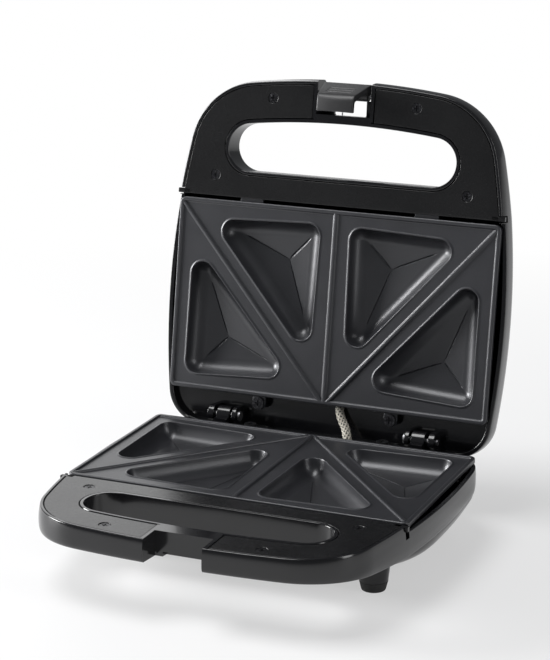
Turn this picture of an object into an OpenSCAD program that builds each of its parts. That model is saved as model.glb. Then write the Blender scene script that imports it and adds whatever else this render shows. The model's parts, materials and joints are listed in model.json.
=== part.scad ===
// Sandwich toaster with two cooking plates and a hinged lid, drawn open.
// Half shells are drawn in plate coordinates: the plate's top is z = 0, its rear edge is y = 0,
// and v counts millimetres forward from that edge, so y = -v. The lid is the same, turned over.

/* [Plates] */
// Width of each cooking plate
plate_w = 220; // [212:0.5:222]
// Depth of each cooking plate, front to back
plate_d = 126; // [123:0.5:127]
// Radius of the plate's corners
plate_corner = 4; // [2:0.5:8]
// Thickness of the cast plate
plate_t = 2.2; // [1.6:0.1:3]
// Width of the raised bead round the plate
bead_w = 2.8; // [2:0.1:4]
// Height of the bead and ridges above the plate's face
face_drop = 1.2; // [0.6:0.1:2]
// Width of the ridge that parts the two sandwiches
centre_ridge_w = 3; // [2:0.1:4]
// Width of the diagonal cutting ridges
cut_ridge_w = 2.5; // [1.5:0.1:3.5]
// Depth of a well where its wall meets its floor
well_wall_depth = 10.3; // [7:0.1:11]
// Width of the hollow wall of a well
well_wall_w = 9.5; // [7:0.1:11]
// Further fall of a well's floor to its middle
well_floor_fall = 2.2; // [1:0.1:3]
// Corner radius of a well at its lip
well_corner = 8; // [5:0.5:10]
// Gap between the two plates when the lid is closed
plate_gap = 0.6; // [0.4:0.1:1.5]

/* [Shell outline] */
// Length of the handle, from the plate's front edge to the shells' front edge
handle_l = 82.3; // [80:0.1:86]
// Radius of the bowed front edge
front_r = 503; // [400:1:700]
// Radius of the front corners
corner_r = 48.5; // [44:0.5:54]
// Half of the greatest width
half_w = 116; // [115.6:0.1:120]
// Radius of the bowed sides
side_r = 515; // [450:1:700]
// Place of the greatest width, forward of the plate's rear edge
widest_v = 60.7; // [50:0.1:70]
// How far the lid reaches behind the plates
lid_back = 24; // [23.6:0.1:26]
// Radius of the lid's rear corners
lid_back_r = 23.7; // [18:0.1:30]
// How far the base reaches behind the plates
base_back = 18; // [17:0.1:19]
// Radius of the base's rear corners
base_back_r = 38; // [32:0.5:44]

/* [Shell section] */
// Wall of the shells
wall = 2.4; // [2:0.1:3]
// How far the shells lean in at the parting plane
rim_lean = 1.3; // [0.8:0.1:2]
// Depth at which the shells are widest
rim_depth = 9; // [7:0.5:10]
// Width of the shell's rim at the parting plane
rim_w = 1.9; // [1.5:0.1:2.5]
// How far the rim round the plates lies below the parting plane
rim_drop = 4; // [3.6:0.1:5]
// Depth of the handle end at its front edge
handle_depth = 14; // [13.8:0.1:16]
// Slope of the handle's outer face
handle_slope = 0.08; // [0.04:0.01:0.1]
// Where the slope stops, forward of the plate's front edge
slope_margin = 4; // [0:0.5:8]
// Reach of the bowl forward of the plate
bowl_margin = 14; // [12:0.5:16]
// Plan radius of the bowl's front corners
bowl_corner_r = 64; // [58:0.5:68]
// Radius of the bowl's rounded edge
bowl_r = 30; // [29:0.5:32]
// Depth of the centre of that rounding
bowl_centre = 11.5; // [11:0.5:13]

/* [Finger slot] */
// Half length of the finger slot over its lip
slot_half = 80; // [70:0.5:84]
// Distance from the plate to the slot's lip
slot_margin = 17.3; // [16:0.1:18]
// Width of the slot over its lip
slot_w = 39.7; // [36:0.1:40.2]
// Bow of the slot's front edge
slot_crown = 1.85; // [1:0.05:3]
// Wall round the slot
slot_wall = 2.4; // [2:0.1:3]

/* [Handle covers] */
// Thickness of the handle covers
cover_t = 2.2; // [1.8:0.1:2.6]
// Gap between a cover and the shell
cover_gap = 0.4; // [0.3:0.05:0.6]
// How far the covers lie below the lips
cover_drop = 0.3; // [0.2:0.05:0.5]
// Gap between the plates and the covers
cover_margin = 2.4; // [2.2:0.1:3.5]
// Depth of the cover's rear skirt
cover_skirt = 6; // [3:0.5:8]
// Width of the side tabs
tab_w = 3; // [2:0.1:3.2]
// Thickness of the side tabs
tab_t = 3; // [2:0.1:4]
// How far the side tabs stand out of the shell
tab_out = 1.8; // [1:0.1:2.5]
// Reach of the covers' side tabs inside the shell's edge
tab_root = 4; // [3:0.5:5]
// Distance from the shell's widest side to the end of the covers' rear wall
cover_wall_margin = 20; // [16:0.5:30]
// Distance of the heat wall in front of the plate
heat_wall_gap = 5.5; // [5:0.1:6]
// Distance of the heat wall's ends inside the plate's ends
heat_wall_margin = 10; // [8:0.5:16]
// Height of the slots for the side tabs
tab_slot_h = 8; // [6:0.5:10]

/* [Screws] */
// Radius of the heads of the cover screws
cover_head_r = 3.2; // [2.6:0.1:3.6]
// Radius of the heads of the plate screws
plate_head_r = 3.9; // [3.4:0.1:4.2]
// Radius of the screws' shanks
shank_r = 1.5; // [1.2:0.1:1.8]
// Height of a screw head
head_h = 1.8; // [1.4:0.1:2.2]
// Length of the shanks
shank_l = 8; // [6:0.5:9]
// Wall of the posts round the screws
post_wall = 2.4; // [1.8:0.1:3]
// Gap round the screws
screw_gap = 0.15; // [0.1:0.05:0.3]
// Inner cover screws, from the middle
inner_screw_x = 48.8; // [44:0.1:52]
// Inner cover screws, forward of the plate
inner_screw_l = 68.2; // [67:0.1:70]
// Outer cover screws, from the middle
outer_screw_x = 86.1; // [84:0.1:90]
// Outer cover screws, forward of the plate
outer_screw_l = 16; // [14:0.1:18]
// Plate screws, from the middle
plate_screw_x = 45.7; // [40:0.1:50]
// Plate screws, behind the plate
plate_screw_l = 4.5; // [4.5:0.1:5]

/* [Hinge] */
// Angle between the plates in the open pose
open_angle = 99.5; // [90:0.5:102]
// Distance of the hinge axis behind the plate's rear edge
hinge_back = 14.5; // [14.2:0.1:15]
// Radius of the hinge pins
pin_r = 2; // [1.6:0.1:2.4]
// Running gap round the hinge pins
pin_gap = 0.04; // [0.02:0.01:0.08]
// Radius of the hinge eyes
eye_r = 5.8; // [5:0.1:6]
// Inner face of the base's ears
ear_in = 63; // [62.5:0.1:64]
// Thickness of the base's ears
ear_w = 9; // [8:0.1:9.5]
// Thickness of the lid's inner arms
inner_arm_w = 2.9; // [2.4:0.1:3.4]
// Thickness of the lid's outer arms
outer_arm_w = 4.1; // [3:0.1:5]
// Side gap between an ear and the inner arm
inner_arm_gap = 1.5; // [0.5:0.1:2]
// Side gap between an ear and the outer arm
outer_arm_gap = 2.4; // [0.5:0.1:3]
// Depth of the recess behind the upper plate
lid_shelf_depth = 9; // [8.6:0.1:10]
// Gap between the open lid and the base's rear edge
stop_gap = 0.3; // [0.2:0.05:0.5]
// How far the pins stand out of the arms
pin_end = 1.2; // [0.8:0.1:2]

/* [Latch] */
// Half width of the notches for the latch
notch_half = 18.3; // [17.5:0.1:19]
// Width of the notches' side walls
notch_wall = 2.3; // [2:0.1:2.6]
// Depth of the lid's notch, back from the shells' front edge
lid_notch_l = 22.3; // [21.3:0.1:22.5]
// Depth of the base's notch, back from the front edge
base_notch_l = 16.8; // [16.3:0.1:17.3]
// Sill left in front of the window in the lid's notch floor
window_sill = 12.3; // [11.3:0.1:14]
// Half width of that window
lid_window_half = 11; // [10.5:0.5:14]
// Half width of the latch at its far end
latch_half = 16; // [14:0.1:16.5]
// Half width of the latch at its hook
hook_half = 12; // [10:0.1:13]
// Distance of the latch's pivot behind the front edge
latch_pivot_l = 8.8; // [7.8:0.1:9.3]
// Depth of the latch's pivot below the lid's parting plane
latch_pivot_depth = 6; // [5.6:0.1:6.6]
// Radius of the latch's barrels
barrel_r = 3.6; // [3:0.1:3.8]
// Radius of the latch pin
latch_pin_r = 1.5; // [1.2:0.1:1.8]
// Thickness of the latch's arm
latch_t = 3.3; // [2.6:0.1:3.6]
// Reach of the latch above the lid's parting plane
latch_reach = 16.4; // [16:0.1:17]
// Thickness of the hook
hook_t = 3; // [2.4:0.1:3.2]
// Length of the hook, back from the latch's face
hook_l = 10; // [9:0.1:10.5]
// How far the latch's face lies behind the front edge at its far end
latch_far_l = 1.3; // [0.9:0.1:1.9]
// How far the face lies behind the front edge at its hook end
latch_near_l = 9.8; // [8.8:0.1:10.3]
// Gap between the hook and its catch when closed
hook_gap = 0.3; // [0.2:0.05:0.6]
// Depth of the grip grooves
grip_depth = 0.5; // [0.3:0.05:0.8]
// Half width of the latch spring's coil
spring_half = 4; // [3:0.1:4.4]
// Radius of the latch spring's wire
spring_wire_r = 0.4; // [0.3:0.05:0.5]

/* [Feet] */
// Height of the parting plane above the table
stand_h = 50; // [49:0.5:53]
// Front feet, from the middle
front_foot_x = 84; // [78:0.5:88]
// Front feet, behind the plate's front edge
front_foot_l = 15; // [12:0.5:24]
// Rear feet, from the middle
rear_foot_x = 78; // [70:0.5:84]
// Rear feet, behind the plate's rear edge
rear_foot_l = 2; // [0:0.5:3]
// Radius of the feet where they stand
foot_r = 7.4; // [6:0.1:8]
// Radius of the feet at the legs
foot_top_r = 8.7; // [8:0.1:9.4]
// Height of the feet
foot_h = 6; // [4:0.5:6.5]
// Growth of the legs' radius towards the shell
leg_flare = 2.6; // [1:0.1:3]
// Radius of the feet's stems
stem_r = 4; // [3:0.1:5]
// Length of the feet's stems
stem_l = 5; // [3:0.5:6]

/* [Heating] */
// Radius of the element's sheath
element_r = 3.2; // [2.8:0.1:3.4]
// Half width of the element's loop
element_half = 80; // [76:0.5:84]
// Margin between the element's legs and the plate's front and rear edges
element_margin = 30; // [28:0.5:34]
// Bend radius of the element
element_bend = 18; // [14:0.5:22]
// Half of the gap between the element's ends
element_end = 16; // [14:0.5:20]
// Radius of the element's cold pins
cold_pin_r = 1.2; // [1:0.1:1.5]
// Gap between the element and the wells
element_gap = 0.4; // [0.2:0.1:1]
// Thickness of the clamps
clamp_t = 1.2; // [1:0.1:2]
// Width of the clamps
clamp_w = 10; // [8:0.5:12]
// Radius of the plate's pillars for the clamps
pillar_r = 3.6; // [3.2:0.1:4]
// Thickness of the reflector pan
pan_t = 0.6; // [0.5:0.1:1]
// Half width of the reflector pan
pan_half = 94; // [88:0.5:96]
// Margin between the reflector pan and the plate's front and rear edges
pan_margin = 14; // [12:0.5:18]
// Height of the pan's rim
pan_rim = 4; // [2:0.5:4.5]
// Gap between the clamps' screws and the pan
pan_gap = 2; // [1.9:0.1:3]
// Radius of the thermostat
thermostat_r = 8; // [7:0.5:9]
// Height of the thermostat
thermostat_h = 7; // [6:0.5:8]

/* [Wiring] */
// Radius of the braided sleeve
sleeve_r = 2.9; // [2.4:0.1:3]
// Radius of the cord bush's bore
bush_bore_r = 3.5; // [3:0.1:4]
// Radius of the cord bush in the shell
bush_r = 5.6; // [5:0.1:6.2]
// Place of the cord bush across the base
bush_x = -60; // [-66:1:-57]
// Depth of the cord bush
bush_depth = 27; // [26:0.5:28]
// Length of the terminal block
terminal_l = 30; // [24:1:34]
// Radius of the lamp lenses
lens_r = 3.4; // [2.8:0.1:3.8]
// Distance between the lamp lenses
lens_pitch = 20; // [14:1:24]
// Distance of the lamp lenses behind the plate's front edge
lens_l = 30; // [26:1:36]
// Distance of the terminal block from the middle
terminal_x = 32; // [28:1:34]

/* [Hidden] */
$fn = 48;
// overlap of cutters past the faces that they cut
over = 1;
// least radius of any plan corner
least_r = 6;
// points on each arc of the outline: front, front corner, side, rear corner
arc_steps = [5, 8, 5, 6];

// places that follow the plates and the front edge, forward of the plate's rear edge
front_edge = plate_d + handle_l;
slope_end = plate_d + slope_margin;
bowl_front = plate_d + bowl_margin;
slot_rear = plate_d + slot_margin;
slot_front = slot_rear + slot_w;
cover_rear = plate_d + cover_margin;
cover_screws = [[inner_screw_x, plate_d + inner_screw_l], [outer_screw_x, plate_d + outer_screw_l]];
plate_screw = [plate_screw_x, -plate_screw_l];
lid_notch_v = front_edge - lid_notch_l;
base_notch_v = front_edge - base_notch_l;
lid_window_v = front_edge - window_sill;
notch_wall_v = front_edge - 3.3;
latch_pivot_v = front_edge - latch_pivot_l;
latch_far_v = front_edge - latch_far_l;
latch_near_v = front_edge - latch_near_l;
hook_v = latch_near_v - hook_l;
front_foot = [front_foot_x, plate_d - front_foot_l];
rear_foot = [rear_foot_x, -rear_foot_l];
element_rear = element_margin;
element_front = plate_d - element_margin;
pan_rear = pan_margin;
pan_front = plate_d - pan_margin;
lens_v = plate_d - lens_l;
// depth below everything, for cuts that go right through
deep = 2*stand_h;

shell_black = "#141416";
satin_black = "#1b1b1c";
plate_grey = "#2f3032";
steel = "#b9bcc0";
rubber_black = "#101010";
ceramic = "#e8e4da";

// outline records: front, front radius, corner radius, half width, side radius, widest, rear, rear radius
function shell_plan(back, back_r) =
    [front_edge, front_r, corner_r, half_w, side_r, widest_v, -back, back_r];
function bowl_plan(back, back_r) =
    [bowl_front, front_r, bowl_corner_r, half_w, side_r, widest_v, -back, back_r];
base_shell = shell_plan(base_back, base_back_r);
base_bowl = bowl_plan(base_back, base_back_r);
lid_shell = shell_plan(lid_back, lid_back_r);
lid_bowl = bowl_plan(lid_back, lid_back_r);

// the outer meeting point of two circles
function meet(c1, r1, c2, r2) =
    let (d = norm(c2 - c1))
    let (a = (r1*r1 - r2*r2 + d*d)/(2*d))
    let (h = sqrt(max(r1*r1 - a*a, 0)))
    let (u = (c2 - c1)/d)
    c1 + a*u + h*[u[1], -u[0]];

function arc_points(c, r, a0, a1, n, last) =
    [for (i = [0:n - (last ? 0 : 1)]) let (a = a0 + (a1 - a0)*i/n) c + r*[cos(a), sin(a)]];

// closed outline of tangent arcs, drawn in by inset, as [x, y] points
function outline(o, inset) =
    let (f = [0, o[0] - o[1]], rf = o[1] - inset)
    let (s = [o[3] - o[4], o[5]], rs = o[4] - inset)
    let (rc = max(o[2] - inset, least_r), rr = max(o[7] - inset, least_r))
    let (c = meet(f, rf - rc, s, rs - rc))
    let (qv = o[6] + inset + rr)
    let (q = [s[0] + sqrt(pow(rs - rr, 2) - pow(qv - s[1], 2)), qv])
    let (af = atan2(c[1] - f[1], c[0] - f[0]))
    let (as = atan2(c[1] - s[1], c[0] - s[0]))
    let (aq = atan2(q[1] - s[1], q[0] - s[0]))
    let (half = concat(
        arc_points(f, rf, 90, af, arc_steps[0], false),
        arc_points(c, rc, af, as, arc_steps[1], false),
        arc_points(s, rs, as, aq, arc_steps[2], false),
        arc_points(q, rr, aq, -90, arc_steps[3], true)))
    concat([for (p = half) [p[0], -p[1]]],
        [for (k = [len(half) - 1:-1:1]) [-half[k][0], -half[k][1]]]);

// depth of the handle's outer face at a distance v forward
function floor_depth(v) = handle_depth + handle_slope*(front_edge - max(v, slope_end));
// how far the bowl's wall has turned in at a depth
function turn_in(d, r) = r - sqrt(r*r - pow(max(d - bowl_centre, 0), 2));
function flat_ring(o, inset, z) = [for (p = outline(o, inset)) [p[0], p[1], z]];
function sloped_ring(o, inset, share, lift) =
    [for (p = outline(o, inset)) [p[0], p[1], lift - share*floor_depth(-p[1])]];
bowl_angles = [90, 75, 60, 45, 30];
// depth between the handle's outer edge and the bowl's first ring
ring_step = 0.8;
edge_round = 1.5;

// solid between rings of equal length, listed from the lowest up
module loft(rings) {
    n = len(rings[0]);
    m = len(rings);
    polyhedron(
        points = [for (ring = rings) each ring],
        faces = concat(
            [[for (i = [0:n - 1]) i]],
            [for (k = [0:m - 2]) for (i = [0:n - 1])
                each [[k*n + i, (k + 1)*n + i, (k + 1)*n + (i + 1)%n],
                      [k*n + i, (k + 1)*n + (i + 1)%n, k*n + (i + 1)%n]]],
            [[for (i = [n - 1:-1:0]) (m - 1)*n + i]]));
}

// outer form of a half shell
module shell_solid(shell, bowl) {
    side_depth = floor_depth(slope_end) + ring_step;
    loft(concat(
        [for (a = bowl_angles) flat_ring(bowl, bowl_r*(1 - cos(a)), -bowl_centre - bowl_r*sin(a))],
        [sloped_ring(bowl, turn_in(side_depth, bowl_r), 1, -ring_step),
         sloped_ring(shell, edge_round, 1, 0),
         sloped_ring(shell, edge_round/2, 0.93, 0),
         sloped_ring(shell, edge_round/6, 0.8, 0),
         flat_ring(shell, 0, -rim_depth),
         flat_ring(shell, rim_lean*0.2, -rim_depth*0.55),
         flat_ring(shell, rim_lean, 0)]));
}

// the space inside a half shell
module shell_space(shell, bowl) {
    r = bowl_r - wall;
    side_depth = floor_depth(slope_end) + ring_step - wall;
    loft(concat(
        [for (a = bowl_angles) flat_ring(bowl, wall + r*(1 - cos(a)), -bowl_centre - r*sin(a))],
        [sloped_ring(bowl, wall + turn_in(side_depth, r), 1, wall - ring_step),
         sloped_ring(shell, rim_lean + rim_w + 0.2, 1, wall),
         flat_ring(shell, rim_lean + rim_w, over)]));
}

// plan of the finger slot, drawn in by inset
slot_end_r = (slot_front - slot_rear)/2 - slot_crown;
slot_front_r = (pow(slot_half - slot_end_r, 2) + pow(slot_end_r + 2*slot_crown, 2)
    - pow(slot_end_r, 2))/(4*slot_crown);
function slot_plan(inset) =
    let (re = slot_end_r - inset, rf = slot_front_r - inset)
    let (c = [slot_half - slot_end_r, slot_rear + slot_end_r])
    let (f = [0, slot_front - slot_front_r])
    let (af = atan2(c[1] - f[1], c[0] - f[0]))
    let (half = concat(arc_points(f, rf, 90, af, 5, false), arc_points(c, re, af, -90, 14, true)))
    concat([for (p = half) [p[0], -p[1]]],
        [for (k = [len(half) - 1:-1:1]) [-half[k][0], -half[k][1]]]);

module slot_prism(inset, low, high) {
    translate([0, 0, low]) linear_extrude(high - low) polygon(slot_plan(inset));
}

// block from x0 to x1, v0 to v1 and z0 to z1
module block(x0, x1, v0, v1, z0, z1) {
    translate([x0, -v1, z0]) cube([x1 - x0, v1 - v0, z1 - z0]);
}

// the same block on both sides
module twin_block(x0, x1, v0, v1, z0, z1) {
    block(x0, x1, v0, v1, z0, z1);
    block(-x1, -x0, v0, v1, z0, z1);
}

// upright cylinder at [x, v], from z0 to z1
module post(place, r, z0, z1) {
    translate([place[0], -place[1], z0]) cylinder(r = r, h = z1 - z0);
}

module mirrored() {
    children();
    mirror([1, 0, 0]) children();
}

// cylinder along x at [v, z], from x0 to x1
module cross_rod(place, r, x0, x1) {
    translate([x0, -place[0], place[1]]) rotate([0, 90, 0]) cylinder(r = r, h = x1 - x0);
}

// places of the hinge, the same seen from the base or from the lid
axis_place = [-hinge_back, plate_gap/2];
base_shelf_depth = (lid_back - hinge_back - cos(open_angle)*(base_back - hinge_back))/sin(open_angle)
    + stop_gap - plate_gap/2;
ear_out = ear_in + ear_w;
inner_arm_in = ear_in - inner_arm_gap - inner_arm_w;
outer_arm_in = ear_out + outer_arm_gap;

// places of the screws and the plates' fixings
lug_top = -0.2 - head_h;
lug_t = 2;
cover_screw_top = -cover_drop - 0.4;
cover_screw_seat = cover_screw_top - head_h;
post_r = shank_r + post_wall;
pillar_end = -(face_drop + well_wall_depth + well_floor_fall + plate_t + element_gap + 2*element_r);
element_z = pillar_end + element_r;
clamp_low = pillar_end - clamp_t;
clamp_head_h = 1.4;
pan_top = clamp_low - clamp_head_h - pan_gap;
pan_low = pan_top - pan_t;
pan_post_x = 52;
pan_posts = [[pan_post_x, pan_rear + 10], [pan_post_x, pan_front - 10]];
pan_screw_l = 7;
clamp_screw_l = 6;
front_pillar = [0, element_front - 12];
side_pillar = [element_half - 25.6, plate_d/2 - 1];
thermostat_place = [0, plate_d/2 - 7];

// floor of the shells inside, where it is flat
inner_floor = -(bowl_centre + bowl_r - wall);
// floor of the walls beside the latch notches
notch_floor = 1.2 - floor_depth(notch_wall_v);

// what both half shells share: slot wall, cover posts, pan posts and the wall in front of the plate
module shell_fittings(shell) {
    floor_low = [for (p = slot_plan(0)) [p[0], p[1], 1.2 - floor_depth(-p[1])]];
    loft([floor_low, [for (p = slot_plan(0)) [p[0], p[1], 0]]]);
    mirrored() {
        for (place = cover_screws)
            post(place, post_r, 1.2 - floor_depth(place[1] + post_r), cover_screw_seat - cover_t/2 - screw_gap);
        for (place = pan_posts) post(place, post_r, inner_floor - wall/2, pan_low);
    }
    heat_wall_v = plate_d + heat_wall_gap;
    heat_wall_half = plate_w/2 - heat_wall_margin;
    block(-heat_wall_half, heat_wall_half, heat_wall_v, heat_wall_v + wall,
        1.2 - floor_depth(heat_wall_v), tongue_low - 0.2);
}

// tongues of the plate under the cover
tongue_t = 1.6;
tongue_in = 52;
tongue_w = 16;
tongue_top = -cover_drop - cover_t - 0.3;
tongue_low = tongue_top - tongue_t;

// the shell's floor behind the plate
module shelf(shell, depth, clip_v) {
    intersection() {
        translate([0, 0, -depth - wall]) linear_extrude(wall) polygon(outline(shell, wall/2));
        block(-half_w, half_w, -lid_back - over, clip_v, -depth - wall - over, -depth + over);
    }
}

module screw_pilots() {
    mirrored() {
        for (place = cover_screws) post(place, shank_r + screw_gap, -shank_l - 4, over);
        for (place = pan_posts)
            post(place, shank_r + screw_gap, inner_floor + 0.6, over);
        post(plate_screw, shank_r + screw_gap, -shank_l - 5, over);
    }
}

module tab_slots() {
    twin_block(half_w - 10, half_w + over, cover_rear - 0.8, cover_rear + tab_w + 0.4, -tab_slot_h, over);
}

// ear of the base between two arms of the lid
module base_ear() {
    cross_rod(axis_place, eye_r, ear_in, ear_out);
    block(ear_in, ear_out, -hinge_back - 0.5, -4.5, -base_shelf_depth - 0.5, axis_place[1]);
}

shelf_front = 4;
module base_fittings() {
    shell_fittings(base_shell);
    shelf(base_shell, base_shelf_depth, shelf_front);
    mirrored() {
        base_ear();
        post(plate_screw, post_r, -base_shelf_depth - 4, lug_top - lug_t - 0.1);
        block(notch_half, notch_half + notch_wall, slot_front, notch_wall_v, notch_floor, 0);
    }
    block(-notch_half - over, notch_half + over, slot_front - wall, base_notch_v, notch_floor, 0);
    block(-terminal_l/2 - terminal_x, terminal_l/2 - terminal_x, 0, 6, terminal_floor, terminal_low);
}
// the shell's rounded floor below the terminal block
terminal_floor = -bowl_centre - sqrt(pow(bowl_r, 2) - pow(bowl_r - base_back, 2)) + 1.7;
terminal_low = terminal_floor + 3.8;

bush_seat_l = 9;
vents_rear = plate_d/2 - 17;
vents_front = plate_d/2 + 19;
catch_z = -(latch_reach - hook_t) + plate_gap + hook_gap;
module base_casing() {
    color(shell_black) difference() {
        union() {
            difference() {
                union() {
                    shell_solid(base_shell, base_bowl);
                    mirrored() for (place = [front_foot, rear_foot]) leg(place);
                    translate([bush_x, base_back - bush_seat_l - over, -bush_depth]) rotate([-90, 0, 0])
                        cylinder(r = bush_r + 3, h = bush_seat_l);
                }
                shell_space(base_shell, base_bowl);
            }
            base_fittings();
        }
        slot_prism(slot_wall, -deep, over);
        difference() {
            union() {
                block(-half_w - over, half_w + over, -9, plate_d + 1, -rim_drop, 3*over);
                block(-half_w - over, half_w + over, -base_back - over, -9, -base_shelf_depth, 3*over);
            }
            mirrored() base_ear();
        }
        block(-notch_half, notch_half, base_notch_v, front_edge + over, -deep, over);
        block(-hook_half - 1.5, hook_half + 1.5, hook_v - 2, base_notch_v + over, -deep, catch_z);
        tab_slots();
        screw_pilots();
        mirrored() {
            cross_rod(axis_place, pin_r + pin_gap, ear_in - over, ear_out + over);
            for (place = [front_foot, rear_foot])
                post(place, stem_r + 0.05, -stand_h + foot_h - over, -stand_h + foot_h + stem_l + 0.3);
        }
        translate([bush_x, base_back - 2*bush_seat_l, -bush_depth]) rotate([-90, 0, 0])
            cylinder(r = bush_r + 0.1, h = 3*bush_seat_l);
        post([sleeve_route[7][0], -sleeve_route[7][1]], sleeve_r + 0.6, -30, 0);
        for (i = [-3:3]) block(i*14 - 1.5, i*14 + 1.5, vents_rear, vents_front, inner_floor - 2*wall,
            inner_floor + over);
    }
}
// a leg under the shell, hollow where the shell is hollow
module leg(place) {
    translate([place[0], -place[1], -stand_h + foot_h])
        cylinder(r1 = foot_top_r, r2 = foot_top_r + leg_flare, h = 24);
}

// the lid's arms on both sides of an ear
module lid_arms() {
    for (arm = [[inner_arm_in, inner_arm_w], [outer_arm_in, outer_arm_w]]) {
        cross_rod(axis_place, eye_r, arm[0], arm[0] + arm[1]);
        block(arm[0], arm[0] + arm[1], -lid_back + wall/2, -hinge_back + eye_r,
            -lid_shelf_depth - 0.5, axis_place[1]);
    }
}

module lid_fittings() {
    shell_fittings(lid_shell);
    shelf(lid_shell, lid_shelf_depth, shelf_front);
    mirrored() {
        lid_arms();
        post(plate_screw, post_r, -lid_shelf_depth - 4, lug_top - lug_t - 0.1);
        block(notch_half, notch_half + notch_wall, slot_front, notch_wall_v, notch_floor, 0);
    }
    block(-notch_half - over, notch_half + over, slot_front - wall, lid_notch_v, notch_floor, 0);
    block(-lens_pitch, lens_pitch, lens_v + 4.3, lens_v + 6.3, inner_floor - 0.5, inner_floor + 6);
    block(-lens_pitch, lens_pitch, lens_v - 6.3, lens_v - 4.3, inner_floor - 0.5, inner_floor + 6);
}

latch_pivot = [latch_pivot_v, -latch_pivot_depth];
module lid_shell_part() {
    color(shell_black) difference() {
        union() {
            difference() {
                shell_solid(lid_shell, lid_bowl);
                shell_space(lid_shell, lid_bowl);
            }
            lid_fittings();
        }
        slot_prism(slot_wall, -deep, over);
        difference() {
            block(-half_w - over, half_w + over, -lid_back - over, plate_d + 1, -rim_drop, 3*over);
            mirrored() lid_arms();
        }
        block(-notch_half, notch_half, lid_window_v, front_edge + over, -deep, over);
        block(-notch_half, notch_half, lid_notch_v, lid_window_v + over, -handle_depth + wall, over);
        block(-lid_window_half, lid_window_half, lid_notch_v, lid_window_v + over, -deep, over);
        tab_slots();
        screw_pilots();
        cross_rod(latch_pivot, latch_pin_r + pin_gap, -notch_half - notch_wall + 0.8,
            notch_half + notch_wall - 0.8);
        mirrored()
            cross_rod(axis_place, pin_r + pin_gap, inner_arm_in - over, outer_arm_in + outer_arm_w + over);
        for (s = [-1, 1]) post([s*lens_pitch/2, lens_v], lens_r + 0.1, -deep, inner_floor + over);
        block(sleeve_x - sleeve_r - 0.8, sleeve_x + sleeve_r + 0.8, -5, shelf_front + over,
            -lid_shelf_depth - wall - over, -lid_shelf_depth + over);
    }
}

module lid_casing() { on_lid() lid_shell_part(); }

// satin cover over the handle, round the finger slot
module handle_cover() {
    inset = rim_lean + rim_w + cover_gap;
    top = -cover_drop;
    color(satin_black) difference() {
        union() {
            intersection() {
                translate([0, 0, top - cover_t]) linear_extrude(cover_t) polygon(outline(lid_shell, inset));
                block(-half_w, half_w, cover_rear, front_edge, top - cover_t - over, over);
            }
            difference() {
                block(-cover_wall_half, cover_wall_half, cover_rear, cover_rear + 1.8,
                    top - cover_t - cover_skirt, top - cover_t/2);
                twin_block(tongue_in - cover_gap, tongue_in + tongue_w + cover_gap, cover_rear - over,
                    cover_rear + 2 + over, tongue_low - 0.2, tongue_top + 0.2);
            }
            twin_block(tab_tip - tab_out - tab_root, tab_tip, cover_rear, cover_rear + tab_w,
                top - tab_t, top);
            mirrored() for (place = cover_screws)
                post(place, cover_head_r + 1.4, cover_screw_seat - cover_t/2, top - cover_t/2);
        }
        slot_prism(-cover_gap, -deep, over);
        block(-notch_half - notch_wall - cover_gap, notch_half + notch_wall + cover_gap,
            slot_front - 4, front_edge + over, -deep, over);
        mirrored() for (place = cover_screws) {
            post(place, shank_r + screw_gap, -deep, over);
            post(place, cover_head_r + 0.25, cover_screw_seat, over);
        }
    }
}
tab_tip = shell_x(cover_rear + tab_w/2) + tab_out;
cover_wall_half = half_w - cover_wall_margin;
// half width of the shell at the parting plane, at a distance v forward
function shell_x(v) =
    let (c = meet([0, front_edge - front_r], front_r - corner_r, [half_w - side_r, widest_v], side_r - corner_r))
    let (join = c[1] + corner_r*sin(atan2(c[1] - widest_v, c[0] - half_w + side_r)))
    (v < join ? half_w - side_r + sqrt(pow(side_r, 2) - pow(v - widest_v, 2))
        : c[0] + sqrt(pow(corner_r, 2) - pow(v - c[1], 2))) - rim_lean;

module base_handle_cover() { handle_cover(); }
module lid_handle_cover() { on_lid() handle_cover(); }

// pan-head screw with a cross recess, its head's top at z = top
module screw(place, head_r, top, length) {
    color("#26262a") translate([place[0], -place[1], top]) difference() {
        union() {
            translate([0, 0, -head_h]) cylinder(r = head_r, h = head_h);
            translate([0, 0, -head_h - length]) cylinder(r = shank_r, h = length + 0.5);
        }
        for (a = [0, 90]) rotate([0, 0, a]) translate([-head_r*0.55, -0.4, -1.1])
            cube([head_r*1.1, 0.8, 2]);
    }
}

module handle_screws() {
    for (s = [-1, 1]) for (place = cover_screws)
        screw([s*place[0], place[1]], cover_head_r, cover_screw_top, shank_l);
}
module base_handle_screws() { handle_screws(); }
module lid_handle_screws() { on_lid() handle_screws(); }
module plate_screws() {
    for (s = [-1, 1]) screw([s*plate_screw[0], plate_screw[1]], plate_head_r, lug_top + head_h, shank_l);
}
module lower_plate_screws() { plate_screws(); }
module upper_plate_screws() { on_lid() plate_screws(); }

// corners of the two wells on the right side, as margins from the plate's edges and centre
front_well = [[plate_w/2 - 22.5, plate_d - 13], [12.2, 27], [10.3, plate_d - 10]];
rear_well = [[plate_w/2 - 11.3, plate_d - 29], [plate_w/2 - 10.5, 9.6], [23.8, 13.8]];
// ends of the cutting ridge on the right side
ridge_ends = [[plate_w/2 - bead_w, plate_d - 3.6], [1.5, 0.9]];

function incentre(t) =
    let (a = norm(t[1] - t[2]), b = norm(t[0] - t[2]), c = norm(t[0] - t[1]))
    (a*t[0] + b*t[1] + c*t[2])/(a + b + c);
function cross2(a, b) = a[0]*b[1] - a[1]*b[0];
function inradius(t) =
    abs(cross2(t[1] - t[0], t[2] - t[0]))/(norm(t[1] - t[2]) + norm(t[0] - t[2]) + norm(t[0] - t[1]));
function unit(v) = v/norm(v);

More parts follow.
